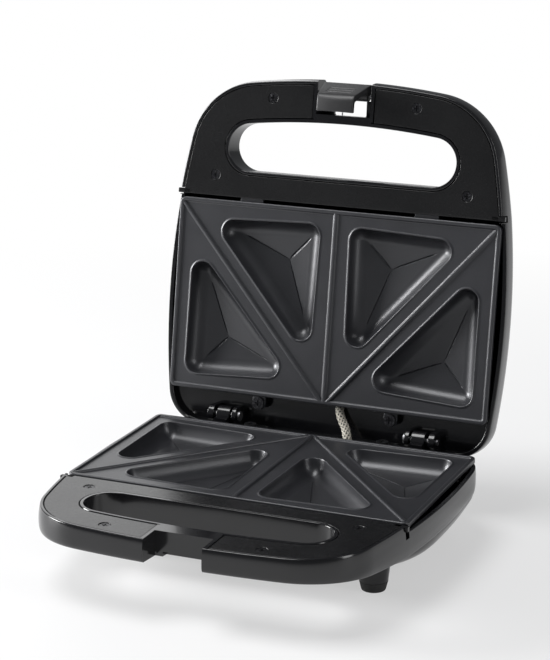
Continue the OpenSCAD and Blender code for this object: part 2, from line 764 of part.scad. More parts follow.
// points of one rounded corner of a triangle
function round_corner(p, before, after, r, n) =
    let (e1 = unit(before - p), e2 = unit(after - p))
    let (half_angle = acos(e1*e2)/2)
    let (c = p + unit(e1 + e2)*r/sin(half_angle))
    let (p1 = p + e1*r/tan(half_angle) - c, p2 = p + e2*r/tan(half_angle) - c)
    let (a1 = atan2(p1[1], p1[0]), turn = (atan2(p2[1], p2[0]) - a1 + 540)%360 - 180)
    [for (i = [0:n]) c + r*[cos(a1 + turn*i/n), sin(a1 + turn*i/n)]];

// ring of a well: the triangle t drawn in by inset, its corners rounded by r, at height z
function well_ring(t, inset, r, z) =
    let (m = incentre(t), share = inset/inradius(t))
    let (s = [for (p = t) p + (m - p)*share])
    [for (k = [0:2]) for (p = round_corner(s[k], s[(k + 2)%3], s[(k + 1)%3], r, 4)) [p[0], -p[1], z]];

// solid of a well's hollow, or of its outside where grow is the plate's thickness
module well_solid(t, grow, top) {
    steps = [90, 62, 34, 12];
    depth = face_drop + grow;
    loft(concat(
        [well_ring(t, inradius(t) - 1, 0.3, -depth - well_wall_depth - well_floor_fall),
         well_ring(t, well_wall_w + 3, 1.2, -depth - well_wall_depth - 0.5)],
        [for (a = steps) well_ring(t, well_wall_w*(1 - cos(a)) - grow,
            max(well_corner - well_wall_w*(1 - cos(a)), 1.2) + grow, -depth - well_wall_depth*sin(a))],
        grow > 0 ? [] : [well_ring(t, 0, well_corner, -depth)],
        [well_ring(t, -grow, well_corner + grow, top)]));
}

module rounded_plate(w, d, v0, r, z0, z1) {
    translate([0, 0, z0]) linear_extrude(z1 - z0) polygon(concat(
        [for (p = arc_points([w/2 - r, -v0 - r], r, 0, 90, 5, true)) p],
        [for (p = arc_points([-w/2 + r, -v0 - r], r, 90, 180, 5, true)) p],
        [for (p = arc_points([-w/2 + r, -v0 - d + r], r, 180, 270, 5, true)) p],
        [for (p = arc_points([w/2 - r, -v0 - d + r], r, 270, 360, 5, true)) p]));
}

// bar of width w between two places, from z0 to z1
module ridge_bar(a, b, w, z0, z1) {
    d = b - a;
    translate([a[0], -a[1], z0]) rotate([0, 0, atan2(-d[1], d[0])]) translate([0, -w/2, 0])
        cube([norm(d), w, z1 - z0]);
}

// cast plate with bead, ridges, wells, screw lugs, tongues and clamp pillars
module cooking_plate() {
    color(plate_grey) difference() {
        union() {
            rounded_plate(plate_w, plate_d, 0, plate_corner, -face_drop - plate_t, -face_drop);
            difference() {
                rounded_plate(plate_w, plate_d, 0, plate_corner, -face_drop - 0.5, 0);
                rounded_plate(plate_w - 2*bead_w, plate_d - 2*bead_w, bead_w, plate_corner - bead_w/2,
                    -face_drop, over);
            }
            block(-centre_ridge_w/2, centre_ridge_w/2, 1, plate_d - 1, -face_drop - 0.5, 0);
            mirrored() {
                ridge_bar(ridge_ends[1], ridge_ends[0], cut_ridge_w, -face_drop - 0.5, 0);
                for (t = [front_well, rear_well]) well_solid(t, plate_t, -face_drop - plate_t/2);
                post(plate_screw, plate_head_r + 0.6, lug_top - lug_t, lug_top);
                block(plate_screw[0] - plate_head_r - 0.6, plate_screw[0] + plate_head_r + 0.6,
                    plate_screw[1], 2, lug_top - lug_t, lug_top - 0.2);
                block(tongue_in, tongue_in + tongue_w, plate_d - 2, plate_d + 7, tongue_low, tongue_top);
                post(side_pillar, pillar_r, pillar_end, -face_drop - plate_t/2);
            }
            post(front_pillar, pillar_r, pillar_end, -face_drop - plate_t/2);
            post(thermostat_place, pillar_r, thermostat_top, -face_drop - plate_t/2);
        }
        mirrored() {
            for (t = [front_well, rear_well]) well_solid(t, 0, over);
            post(plate_screw, shank_r + screw_gap, -deep, over);
            post(side_pillar, shank_r + screw_gap, pillar_end - over, pillar_end + clamp_screw_l + 1);
        }
        post(front_pillar, shank_r + screw_gap, pillar_end - over, pillar_end + clamp_screw_l + 1);
    }
}
module lower_plate() { cooking_plate(); }
module upper_plate() { on_lid() cooking_plate(); }

// sheathed heating rod, bent to a loop with its ends at the rear
module element() {
    corner_x = element_half - element_bend;
    color(steel) {
        mirrored() {
            cross_rod([element_rear, element_z], element_r, element_end, corner_x);
            cross_rod([element_front, element_z], element_r, 0, corner_x);
            translate([element_half, -element_front + element_bend, element_z]) rotate([-90, 0, 0])
                cylinder(r = element_r, h = element_front - element_rear - 2*element_bend);
            translate([corner_x, -element_rear - element_bend, element_z])
                rotate_extrude(angle = 90) translate([element_bend, 0]) circle(r = element_r);
            translate([corner_x, -element_front + element_bend, element_z]) rotate([0, 0, -90])
                rotate_extrude(angle = 90) translate([element_bend, 0]) circle(r = element_r);
            cross_rod([element_rear, element_z], cold_pin_r, element_end - 10, element_end + 0.5);
        }
    }
}
module lower_element() { element(); }
module upper_element() { on_lid() element(); }

// flat steel straps that press the element against the wells
module element_clamps() {
    color(steel) {
        difference() {
            block(-clamp_w/2, clamp_w/2, front_pillar[1] - 6, element_front + element_r, clamp_low, pillar_end);
            post(front_pillar, shank_r + screw_gap, clamp_low - over, pillar_end + over);
        }
        mirrored() difference() {
            block(side_pillar[0] - 6, element_half + element_r, side_pillar[1] - clamp_w/2,
                side_pillar[1] + clamp_w/2, clamp_low, pillar_end);
            post(side_pillar, shank_r + screw_gap, clamp_low - over, pillar_end + over);
        }
    }
}
module lower_element_clamps() { element_clamps(); }
module upper_element_clamps() { on_lid() element_clamps(); }

module clamp_screw(place) {
    color(steel) {
        post(place, 2.8, clamp_low - clamp_head_h, clamp_low);
        post(place, shank_r, clamp_low - 0.5, pillar_end + clamp_screw_l);
    }
}
module clamp_screws() {
    clamp_screw(front_pillar);
    for (s = [-1, 1]) clamp_screw([s*side_pillar[0], side_pillar[1]]);
}
module lower_clamp_screws() { clamp_screws(); }
module upper_clamp_screws() { on_lid() clamp_screws(); }

// shallow steel pan between the element and the shell
module reflector() {
    color(steel) difference() {
        rounded_plate(2*pan_half, pan_front - pan_rear, pan_rear, 8, pan_low, pan_top + pan_rim);
        rounded_plate(2*(pan_half - pan_t), pan_front - pan_rear - 2*pan_t, pan_rear + pan_t, 8 - pan_t,
            pan_top, pan_top + pan_rim + over);
        mirrored() for (place = pan_posts) post(place, shank_r + screw_gap, pan_low - over, pan_top + over);
    }
}
module lower_reflector() { reflector(); }
module upper_reflector() { on_lid() reflector(); }

module pan_screws() {
    color(steel) for (s = [-1, 1]) for (place = pan_posts) {
        post([s*place[0], place[1]], 2.8, pan_top, pan_top + 1.4);
        post([s*place[0], place[1]], shank_r, pan_top - pan_screw_l, pan_top + 0.5);
    }
}
module lower_reflector_screws() { pan_screws(); }
module upper_reflector_screws() { on_lid() pan_screws(); }

// bimetal disc thermostat under the lower plate
thermostat_top = -13;
module thermostat() {
    color(ceramic) {
        post(thermostat_place, thermostat_r, thermostat_top - thermostat_h, thermostat_top);
        post(thermostat_place, thermostat_r - 2, thermostat_top - thermostat_h - 1.5,
            thermostat_top - thermostat_h + 0.5);
        for (s = [-1, 1]) block(s*5 - 1.5, s*5 + 1.5, thermostat_place[1] - thermostat_r + 0.5,
            thermostat_place[1] - thermostat_r + 1.3, thermostat_top - thermostat_h - 1, thermostat_top - 2);
    }
}

// one-shot fuse lying on the front clamp's underside
module thermal_fuse() {
    color("#d9c27a") {
        cross_rod([element_front, clamp_low - 1.45], 1.4, -6, 6);
        cross_rod([element_front, clamp_low - 1.45], 0.4, -14, 14);
    }
}

module terminal_block() {
    x0 = -terminal_x - terminal_l/2;
    color(ceramic) difference() {
        block(x0, x0 + terminal_l, -3, 9, terminal_low, terminal_low + 11);
        for (i = [0:2]) {
            translate([x0 + terminal_l*(i + 0.5)/3, -13, terminal_low + 4.5]) rotate([-90, 0, 0])
                cylinder(r = 1.7, h = 20);
            post([x0 + terminal_l*(i + 0.5)/3, 5.5], 1.6, terminal_low + 4.5, terminal_low + 11 + over);
        }
    }
}

// bush that lines the hole for the mains lead
module cord_bush() {
    color(rubber_black) translate([bush_x, base_back - 1, -bush_depth]) rotate([-90, 0, 0]) difference() {
        union() {
            translate([0, 0, -7]) cylinder(r = bush_r, h = 8);
            cylinder(r = bush_r + 1.8, h = 2);
        }
        translate([0, 0, -8]) cylinder(r = bush_bore_r, h = 12);
    }
}

// rubber foot with a stem that presses into its leg
module foot(place) {
    color(rubber_black) translate([place[0], -place[1], -stand_h]) {
        rotate_extrude() polygon([[0, 0], [foot_r - 0.9, 0], [foot_r - 0.25, 0.3], [foot_r, 0.9],
            [foot_top_r, foot_h], [0, foot_h]]);
        translate([0, 0, foot_h - 0.5]) cylinder(r = stem_r, h = stem_l + 0.5);
    }
}
module front_feet() { for (s = [-1, 1]) foot([s*front_foot[0], front_foot[1]]); }
module rear_feet() { for (s = [-1, 1]) foot([s*rear_foot[0], rear_foot[1]]); }

// one pin through each ear and its two arms, with a head at the inner end
module hinge_pins() {
    color(steel) mirrored() {
        cross_rod(axis_place, pin_r, inner_arm_in - 0.5, outer_arm_in + outer_arm_w + pin_end);
        cross_rod(axis_place, pin_r + 1.2, inner_arm_in - 1.8, inner_arm_in - 0.3);
    }
}

module lens(side, tint) {
    color(tint) translate([side*lens_pitch/2, -lens_v, inner_floor]) {
        translate([0, 0, -wall]) cylinder(r = lens_r, h = wall + 0.3);
        translate([0, 0, -wall - 0.7]) cylinder(r1 = lens_r - 0.6, r2 = lens_r, h = 0.7);
        translate([0, 0, 0.2]) cylinder(r = lens_r + 0.8, h = 1);
    }
}
module power_lamp_lens() { on_lid() lens(-1, "#c02818"); }
module ready_lamp_lens() { on_lid() lens(1, "#2f9e3c"); }

// white carrier with the two neon lamps, between two ribs behind the lenses
module lamp_holder() {
    on_lid() color(ceramic) {
        difference() {
            block(-lens_pitch/2 - 6, lens_pitch/2 + 6, lens_v - 4, lens_v + 4,
                inner_floor + 1.5, inner_floor + 8);
            for (s = [-1, 1]) block(s*lens_pitch/2 - 4.5, s*lens_pitch/2 + 4.5, lens_v - 5, lens_v + 5,
                inner_floor, inner_floor + 5);
        }
    }
}

// side view of the latch, as [v, z] points
hook_top = latch_reach - hook_t;
latch_side = [[latch_far_v, -latch_pivot_depth - 0.6], [latch_near_v, latch_reach], [hook_v, latch_reach],
    [hook_v, hook_top], [latch_near_v - latch_t, hook_top], [latch_far_v - latch_t - 2, -0.5],
    [latch_pivot_v, -latch_pivot_depth + barrel_r - 0.6], [latch_pivot_v, -latch_pivot_depth - 0.6]];
module latch_part() {
    color(shell_black) difference() {
        union() {
            intersection() {
                rotate([90, 0, 90]) translate([0, 0, -latch_half]) linear_extrude(2*latch_half)
                    polygon([for (p = latch_side) [-p[0], p[1]]]);
                rotate([90, 0, 0]) linear_extrude(front_edge + 10) polygon([[-latch_half, -20],
                    [latch_half, -20], [latch_half, -2], [hook_half, latch_reach + over],
                    [-hook_half, latch_reach + over], [-latch_half, -2]]);
            }
            mirrored() cross_rod(latch_pivot, barrel_r, spring_half + 0.5, latch_half - 1);
        }
        block(-spring_half - 0.5, spring_half + 0.5, latch_pivot_v - 9.5, latch_pivot_v + barrel_r, -20, -1);
        cross_rod(latch_pivot, latch_pin_r + pin_gap, -latch_half - over, latch_half + over);
        for (i = [0:2]) grip_groove(i);
    }
}
// a grip groove across the latch's outer face
module grip_groove(i) {
    z = latch_reach - 2.6 - 2.4*i;
    face_v = latch_near_v
        + (latch_far_v - latch_near_v)*(latch_reach - z)/(latch_reach + latch_pivot_depth + 0.6);
    block(-hook_half + 1.5, hook_half - 1.5, face_v - grip_depth, face_v + 3, z - 0.6, z + 0.6);
}
module latch() { on_lid() latch_part(); }

module latch_pin() {
    on_lid() color(steel)
        cross_rod(latch_pivot, latch_pin_r, -notch_half - notch_wall + 1, notch_half + notch_wall - 1);
}

// torsion spring: its wound coil round the pin and its two legs
module latch_spring() {
    on_lid() color(steel) {
        difference() {
            cross_rod(latch_pivot, latch_pin_r + 0.3 + 2*spring_wire_r, -spring_half, spring_half);
            cross_rod(latch_pivot, latch_pin_r + 0.3, -spring_half - over, spring_half + over);
        }
        translate([-spring_half + 0.6, -latch_pivot_v, -latch_pivot_depth - latch_pin_r - 0.3 - spring_wire_r])
            rotate([-90, 0, 0]) cylinder(r = spring_wire_r, h = latch_pivot_v - lid_notch_v - 0.2);
    }
}

// braided sleeve from the lid's recess into the base, as [x, y, z] in plate coordinates
sleeve_x = 9;
sleeve_route = [[9, 28.5, 17.5], [9, 25.4, 14], [9.5, 23, 10.5], [11, 21, 7], [13, 19.8, 3.5], [15.5, 18, 0],
    [18, 14.6, -5], [20, 12.4, -10], [20.5, 12, -15], [20.5, 12, -20]];
function spline(p0, p1, p2, p3, t) =
    0.5*(2*p1 + (p2 - p0)*t + (2*p0 - 5*p1 + 4*p2 - p3)*t*t + (3*p1 - p0 - 3*p2 + p3)*t*t*t);
function route_point(r, k, t) =
    spline(r[max(k - 1, 0)], r[k], r[k + 1], r[min(k + 2, len(r) - 1)], t);
sleeve_line = concat([for (k = [0:len(sleeve_route) - 2]) for (t = [0, 0.5]) route_point(sleeve_route, k, t)],
    [sleeve_route[len(sleeve_route) - 1]]);
module lead_sleeve() {
    n = len(sleeve_line);
    color("#c9c0a8") loft([for (k = [n - 1:-1:0])
        let (d = unit(sleeve_line[max(k - 1, 0)] - sleeve_line[min(k + 1, n - 1)]))
        let (a = unit(cross([0, 1, 0], d)), b = cross(d, a))
        [for (i = [0:9]) sleeve_line[k] + sleeve_r*(cos(36*i)*a + sin(36*i)*b)]]);
}

// turns the lid's parts over and up to the open pose, about the hinge axis
module on_lid() {
    translate([0, hinge_back, plate_gap/2]) rotate([-open_angle, 0, 0])
        translate([0, -hinge_back, plate_gap/2]) mirror([0, 0, 1]) children();
}

// the whole stands on its feet with its footprint's middle at the origin
function lid_reach(a) = hinge_back
    + (-bowl_front + bowl_r*(1 - cos(a)) - hinge_back)*cos(open_angle)
    + (plate_gap/2 + bowl_centre + bowl_r*sin(a))*sin(open_angle);
rear_reach = max([for (a = bowl_angles) lid_reach(a)]);
front_reach = front_edge - front_r + sqrt(pow(front_r, 2) - pow(notch_half, 2));
module placed() { translate([0, (front_reach - rear_reach)/2, stand_h]) children(); }

placed() base_casing();
placed() base_handle_cover();
placed() lower_plate();
placed() base_handle_screws();
placed() lower_plate_screws();
placed() lower_element();
placed() lower_element_clamps();
placed() lower_clamp_screws();
placed() lower_reflector();
placed() lower_reflector_screws();
placed() thermostat();
placed() thermal_fuse();
placed() terminal_block();
placed() cord_bush();
placed() front_feet();
placed() rear_feet();
placed() hinge_pins();
placed() lid_casing();
placed() lid_handle_cover();
placed() upper_plate();
placed() lid_handle_screws();
placed() upper_plate_screws();
placed() upper_element();
placed() upper_element_clamps();
placed() upper_clamp_screws();
placed() upper_reflector();
placed() upper_reflector_screws();
placed() power_lamp_lens();
placed() ready_lamp_lens();
placed() lamp_holder();
placed() latch();
placed() latch_pin();
placed() latch_spring();
placed() lead_sleeve();
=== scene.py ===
import json
import math
import bmesh
import bpy
import numpy as np
from mathutils import Matrix, Vector
from mathutils.geometry import tessellate_polygon


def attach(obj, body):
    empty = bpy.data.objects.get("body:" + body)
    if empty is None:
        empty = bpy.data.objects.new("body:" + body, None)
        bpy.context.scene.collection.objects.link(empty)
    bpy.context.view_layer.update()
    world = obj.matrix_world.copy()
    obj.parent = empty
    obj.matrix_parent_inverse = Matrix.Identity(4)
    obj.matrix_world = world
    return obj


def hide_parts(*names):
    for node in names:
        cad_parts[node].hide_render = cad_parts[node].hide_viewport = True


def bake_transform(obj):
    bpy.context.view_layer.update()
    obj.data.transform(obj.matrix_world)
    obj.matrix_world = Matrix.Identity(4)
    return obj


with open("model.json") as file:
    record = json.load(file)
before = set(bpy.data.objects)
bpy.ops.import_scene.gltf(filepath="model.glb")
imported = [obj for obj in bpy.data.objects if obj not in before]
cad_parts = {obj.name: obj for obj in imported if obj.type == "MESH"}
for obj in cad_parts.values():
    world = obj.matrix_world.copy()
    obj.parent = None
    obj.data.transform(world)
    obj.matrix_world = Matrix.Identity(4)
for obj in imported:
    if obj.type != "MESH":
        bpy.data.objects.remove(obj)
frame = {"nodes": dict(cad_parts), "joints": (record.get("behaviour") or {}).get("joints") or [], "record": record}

scene = bpy.context.scene
bpy.context.view_layer.update()
mm = 0.001

# The pieces are drawn in millimetres from the lower plate: its parting plane is z = 0,
# its rear edge is v = 0, and v counts forward, so a point is [x, -v, z].
hinge = next(joint for joint in frame["joints"] if joint["name"] == "lid_hinge")
closing = dict(hingeBack=14.5, plateGap=0.6, openAngle=hinge["range_deg"][1])
rearEdge = Vector(hinge["pos_m"]) - Vector((0, closing["hingeBack"], closing["plateGap"] / 2)) * mm

onBase = Matrix.Translation(rearEdge) @ Matrix.Scale(mm, 4)
axisPlace = Vector((0, closing["hingeBack"], closing["plateGap"] / 2))
onLid = (onBase @ Matrix.Translation(axisPlace)
         @ Matrix.Rotation(math.radians(-closing["openAngle"]), 4, "X")
         @ Matrix.Translation(Vector((0, -axisPlace.y, axisPlace.z)))
         @ Matrix.Diagonal((1, 1, -1, 1)))


# Shader building: a wire is a socket that takes part in sums
class Wire:
    def __init__(self, finish, socket):
        self.finish, self.socket = finish, socket

    def math(self, operation, first, second=0.0):
        return self.finish.node("ShaderNodeMath", {"operation": operation}, {0: first, 1: second})

    def __add__(self, other): return self.math("ADD", self, other)
    def __radd__(self, other): return self.math("ADD", other, self)
    def __sub__(self, other): return self.math("SUBTRACT", self, other)
    def __rsub__(self, other): return self.math("SUBTRACT", other, self)
    def __mul__(self, other): return self.math("MULTIPLY", self, other)
    def __rmul__(self, other): return self.math("MULTIPLY", other, self)


class Finish:
    def __init__(self, name, **fixed):
        self.material = bpy.data.materials.new(name)
        self.material.use_nodes = True
        self.tree = self.material.node_tree
        self.shader = self.tree.nodes["Principled BSDF"]
        for socket, value in fixed.items():
            self.feed(self.shader.inputs[socket.replace("_", " ")], value)

    def feed(self, target, value):
        if isinstance(value, Wire):
            self.tree.links.new(value.socket, target)
        elif isinstance(value, tuple) and len(value) == 3 and target.type == "RGBA":
            target.default_value = (*value, 1)
        else:
            target.default_value = value

    def node(self, kind, settings=None, values=None, output=0):
        made = self.tree.nodes.new(kind)
        for key, value in (settings or {}).items():
            if key == "stops":
                ramp = made.color_ramp.elements
                while len(ramp) < len(value):
                    ramp.new(0.5)
                for stop, (position, grey) in zip(ramp, value):
                    stop.position, stop.color = position, (grey, grey, grey, 1)
            else:
                setattr(made, key, value)
        for key, value in (values or {}).items():
            self.feed(made.inputs[key], value)
        return Wire(self, made.outputs[output])

    def place(self):
        return self.node("ShaderNodeTexCoord", output="Object")

    def noise(self, size, detail=2.0, rough=0.5, place=None):
        return self.node("ShaderNodeTexNoise", {}, {
            "Vector": place or self.place(), "Scale": 1 / size, "Detail": detail, "Roughness": rough})

    def ramp(self, value, *stops):
        return self.node("ShaderNodeValToRGB", {"stops": stops}, {0: value})

    def blend(self, share, first, second):
        return self.node("ShaderNodeMix", {"data_type": "RGBA"}, {0: share, 6: first, 7: second}, 2)

    def put(self, socket, value):
        self.feed(self.shader.inputs[socket], value)
        return self

    def bump(self, height, depth, strength=1.0):
        return self.put("Normal", self.node("ShaderNodeBump", {}, {
            "Height": height, "Distance": depth, "Strength": strength}))


def glossBlack():
    f = Finish("glossBlack", Specular_IOR_Level=0.5, Coat_Roughness=0.06)
    cloud = f.noise(0.02, 4)
    grain = f.noise(0.00035, 2)
    f.put("Base Color", f.blend(cloud, (0.0035, 0.0035, 0.0042), (0.006, 0.006, 0.007)))
    f.put("Roughness", 0.11 + cloud * 0.07 + grain * 0.03)
    f.put("Coat Weight", 0.12 + cloud * 0.1)
    return f.bump(f.noise(0.012, 1) * 0.6 + grain * 0.05, 0.00004).material


def satinBlack():
    f = Finish("satinBlack")
    cloud = f.noise(0.03, 3)
    grain = f.noise(0.0003, 3, 0.65)
    f.put("Base Color", f.blend(cloud, (0.003, 0.003, 0.0034), (0.0052, 0.0052, 0.0056)))
    f.put("Roughness", 0.20 + cloud * 0.06 + grain * 0.08)
    return f.bump(grain, 0.00003, 0.8).material


def nonstick():
    f = Finish("nonstick", Specular_IOR_Level=0.9)
    speckle = f.ramp(f.noise(0.0006, 2, 0.6), (0.40, 0.0), (0.72, 1.0))
    cloud = f.noise(0.018, 4)
    pebble = f.noise(0.0009, 3, 0.6)
    grey = f.blend(cloud, (0.018, 0.0185, 0.0215), (0.027, 0.0275, 0.032))
    f.put("Base Color", f.blend(speckle * 0.5, grey, (0.07, 0.072, 0.08)))
    f.put("Metallic", 0.30 + speckle * 0.25)
    f.put("Roughness", 0.27 + cloud * 0.07 + pebble * 0.10)
    return f.bump(pebble, 0.00007, 0.7).material


def blackScrew():
    f = Finish("blackScrew", Metallic=0.85)
    wear = f.ramp(f.noise(0.0012, 4, 0.6), (0.5, 0.0), (0.75, 1.0))
    f.put("Base Color", f.blend(wear, (0.03, 0.03, 0.033), (0.12, 0.12, 0.13)))
    f.put("Roughness", 0.28 + wear * 0.15)
    return f.bump(f.noise(0.0004, 2), 0.00003).material


def metal(name, colour, dull, rough):
    f = Finish(name, Metallic=1.0)
    stain = f.noise(0.004, 4, 0.6)
    brush = f.noise(0.0005, 3, 0.7)
    f.put("Base Color", f.blend(stain, colour, dull))
    f.put("Roughness", rough + stain * 0.12 + brush * 0.08)
    return f.bump(brush, 0.00002).material


def moulded(name, colour, shade, rough):
    f = Finish(name)
    cloud = f.noise(0.006, 3)
    grain = f.noise(0.0004, 3, 0.7)
    f.put("Base Color", f.blend(cloud, colour, shade))
    f.put("Roughness", rough + grain * 0.12)
    return f.bump(grain, 0.00005).material


def lensFinish(name, colour, shade):
    f = Finish(name, Coat_Roughness=0.04)
    depth = f.noise(0.002, 2)
    f.put("Base Color", f.blend(depth, colour, shade))
    f.put("Roughness", 0.10 + depth * 0.08)
    f.put("Coat Weight", 0.6 + depth * 0.2)
    return f.bump(f.noise(0.0015, 1), 0.00003).material


def braidFinish():
    f = Finish("braid")
    yarn = f.noise(0.0005, 3, 0.7)
    soil = f.noise(0.006, 3)
    clean = f.blend(yarn, (0.40, 0.38, 0.33), (0.66, 0.63, 0.56))
    f.put("Base Color", f.blend(soil * 0.5, clean, (0.30, 0.27, 0.21)))
    f.put("Roughness", 0.75 + yarn * 0.15)
    return f.bump(yarn, 0.00012).material


finishes = dict(
    shell_black=glossBlack(), cover_black=satinBlack(), nonstick_plate=nonstick(),
    black_screw=blackScrew(),
    zinc_steel=metal("zincSteel", (0.36, 0.36, 0.37), (0.26, 0.26, 0.27), 0.30),
    element_sheath=metal("elementSheath", (0.30, 0.27, 0.24), (0.18, 0.15, 0.13), 0.38),
    reflector_steel=metal("reflectorSteel", (0.62, 0.62, 0.62), (0.50, 0.49, 0.47), 0.20),
    rubber_foot=moulded("rubber", (0.012, 0.012, 0.012), (0.022, 0.022, 0.021), 0.62),
    ceramic_white=moulded("ceramic", (0.72, 0.70, 0.65), (0.62, 0.60, 0.55), 0.45),
    fuse_body=moulded("fuseBody", (0.55, 0.45, 0.20), (0.45, 0.36, 0.15), 0.35),
    braid=braidFinish(),
    red_lens=lensFinish("redLens", (0.45, 0.02, 0.012), (0.30, 0.01, 0.008)),
    green_lens=lensFinish("greenLens", (0.03, 0.32, 0.05), (0.02, 0.22, 0.03)))
print("finishes made", len(finishes))


# Meshes
def addObject(name, mesh, slotName, body=None):
    made = bpy.data.objects.new(name, mesh)
    scene.collection.objects.link(made)
    mesh.materials.append(finishes[slotName])
    if body:
        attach(made, body)
    return made


def ringMesh(name, rings, caps=True):  # closed skin through rings of equal length
    count = len(rings[0])
    faces = [[k * count + i, k * count + (i + 1) % count,
              (k + 1) * count + (i + 1) % count, (k + 1) * count + i]
             for k in range(len(rings) - 1) for i in range(count)]
    if caps:
        faces += [list(range(count))[::-1], [(len(rings) - 1) * count + i for i in range(count)]]
    mesh = bpy.data.meshes.new(name)
    mesh.from_pydata([tuple(p) for ring in rings for p in ring], [], faces)
    mesh.validate()
    return mesh


def joinMeshes(name, meshes):
    joined = bmesh.new()
    for mesh in meshes:
        joined.from_mesh(mesh)
        bpy.data.meshes.remove(mesh)
    made = bpy.data.meshes.new(name)
    joined.to_mesh(made)
    joined.free()
    return made


def mirrorMesh(mesh):  # the mesh and its mirror image in one
    joined = bmesh.new()
    joined.from_mesh(mesh)
    twin = mesh.copy()
    twin.transform(Matrix.Diagonal((-1, 1, 1, 1)))
    twin.flip_normals()
    joined.from_mesh(twin)
    joined.to_mesh(mesh)
    joined.free()
    bpy.data.meshes.remove(twin)
    return mesh


def outward(mesh):
    work = bmesh.new()
    work.from_mesh(mesh)
    bmesh.ops.recalc_face_normals(work, faces=work.faces)
    work.to_mesh(mesh)
    work.free()
    return mesh


def boolean(target, tool, operation):  # target and tool are meshes
    first = bpy.data.objects.new("first", outward(target))
    second = bpy.data.objects.new("second", outward(tool))
    for part in (first, second):
        scene.collection.objects.link(part)
    cut = first.modifiers.new("cut", "BOOLEAN")
    cut.object, cut.operation, cut.solver = second, operation, "EXACT"
    bpy.context.view_layer.update()
    made = bpy.data.meshes.new_from_object(first.evaluated_get(bpy.context.evaluated_depsgraph_get()))
    for part in (first, second):
        mesh = part.data
        bpy.data.objects.remove(part)
        bpy.data.meshes.remove(mesh)
    return made


def boxMesh(x0, x1, v0, v1, z0, z1, edge=0.0):
    work = bmesh.new()
    bmesh.ops.create_cube(work, size=1)
    for vert in work.verts:
        vert.co = Vector(((x0 + x1) / 2 + vert.co.x * (x1 - x0), -(v0 + v1) / 2 + vert.co.y * (v1 - v0),
                          (z0 + z1) / 2 + vert.co.z * (z1 - z0)))
    if edge:
        bmesh.ops.bevel(work, geom=work.edges[:], offset=edge, segments=2, profile=0.5, affect="EDGES")
    mesh = bpy.data.meshes.new("box")
    work.to_mesh(mesh)
    work.free()
    return mesh


def lathe(profile, sides=40):  # solid of revolution about z, from [r, z] points
    rings = [[(r * math.cos(2 * math.pi * i / sides), r * math.sin(2 * math.pi * i / sides), z)
              for i in range(sides)] for r, z in profile]
    return ringMesh("lathe", rings)


def crossRod(v, z, profile, sides=40):  # lathe along x about [v, z], profile of [r, x]
    mesh = lathe(profile, sides)
    mesh.transform(Matrix.Translation((0, -v, z)) @ Matrix.Rotation(math.radians(90), 4, "Y"))
    return mesh


def finishMesh(mesh, place, name, slotName, body, replaced=(), sharp=32):
    mesh.transform(place)
    if place.determinant() < 0:
        mesh.flip_normals()
    outward(mesh)
    mesh.shade_smooth()
    mesh.set_sharp_from_angle(angle=math.radians(sharp))
    made = addObject(name, mesh, slotName, body)
    weigh = made.modifiers.new("weigh", "WEIGHTED_NORMAL")
    weigh.keep_sharp = True
    if replaced:
        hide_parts(*replaced)
    return made


# Plan outlines, made of arcs that meet smoothly, as [x, v] points from the front to the rear
shell = dict(front=208.3, frontR=503, cornerR=48.5, halfW=116, sideR=515, widestV=60.7,
             wall=2.4, rimLean=1.3, rimDepth=9, rimW=1.9, rimDrop=4, floorEdge=1.5,
             handleDepth=14, slope=0.08, slopeEnd=130, bowlFront=140, bowlCornerR=64,
             bowlR=30, bowlCentre=11.5, rimRound=0.5, stepV=127)
baseRear = dict(back=18, backR=38)
lidRear = dict(back=24, backR=23.7)
plateSize = dict(w=220, d=126, corner=4, t=2.2, beadW=2.8, drop=1.2,
                 tongue=(52, 68), tongueOut=7, tongueZ=(-4.4, -2.8), lugWall=0.6, lugZ=(-4, -2))


def arc(centre, r, start, end, steps):
    a = np.linspace(start, end, steps)
    return np.stack([centre[0] + r * np.cos(a), centre[1] + r * np.sin(a)], 1)


def circlesMeet(c1, r1, c2, r2):
    c1, c2 = np.array(c1, float), np.array(c2, float)
    d = np.linalg.norm(c2 - c1)
    a = (r1 * r1 - r2 * r2 + d * d) / (2 * d)
    u = (c2 - c1) / d
    return c1 + a * u + math.sqrt(max(r1 * r1 - a * a, 0)) * np.array([u[1], -u[0]])


def halfOutline(rear, inset, bowl=False, fine=1):
    front, cornerR = (shell[key] for key in (("bowlFront", "bowlCornerR") if bowl else ("front", "cornerR")))
    fc, fr = (0, front - shell["frontR"]), shell["frontR"] - inset
    sc, sr = (shell["halfW"] - shell["sideR"], shell["widestV"]), shell["sideR"] - inset
    cr, qr = max(cornerR - inset, 2), max(rear["backR"] - inset, 2)
    c = circlesMeet(fc, fr - cr, sc, sr - cr)
    qv = -rear["back"] + inset + qr
    q = (sc[0] + math.sqrt((sr - qr) ** 2 - (qv - sc[1]) ** 2), qv)
    frontTurn = math.atan2(c[1] - fc[1], c[0] - fc[0])
    sideTurn = math.atan2(c[1] - sc[1], c[0] - sc[0])
    rearTurn = math.atan2(q[1] - sc[1], q[0] - sc[0])
    quarter = math.pi / 2
    return np.concatenate([
        arc(fc, fr, quarter, frontTurn, 14 * fine)[:-1], arc(c, cr, frontTurn, sideTurn, 26 * fine)[:-1],
        arc(sc, sr, sideTurn, rearTurn, 24 * fine)[:-1], arc(q, qr, rearTurn, -quarter, 16 * fine),
        np.linspace([q[0] * 0.75, qv - qr], [0, qv - qr], 4)])


def fullRing(half, z):  # both halves, with a height for each point of the half
    right = [(x, -v, h) for (x, v), h in zip(half, z)]
    return right + [(-x, y, h) for x, y, h in right[-2:0:-1]]


hub = np.array([0, 60.0])  # the outlines are compared along rays from here


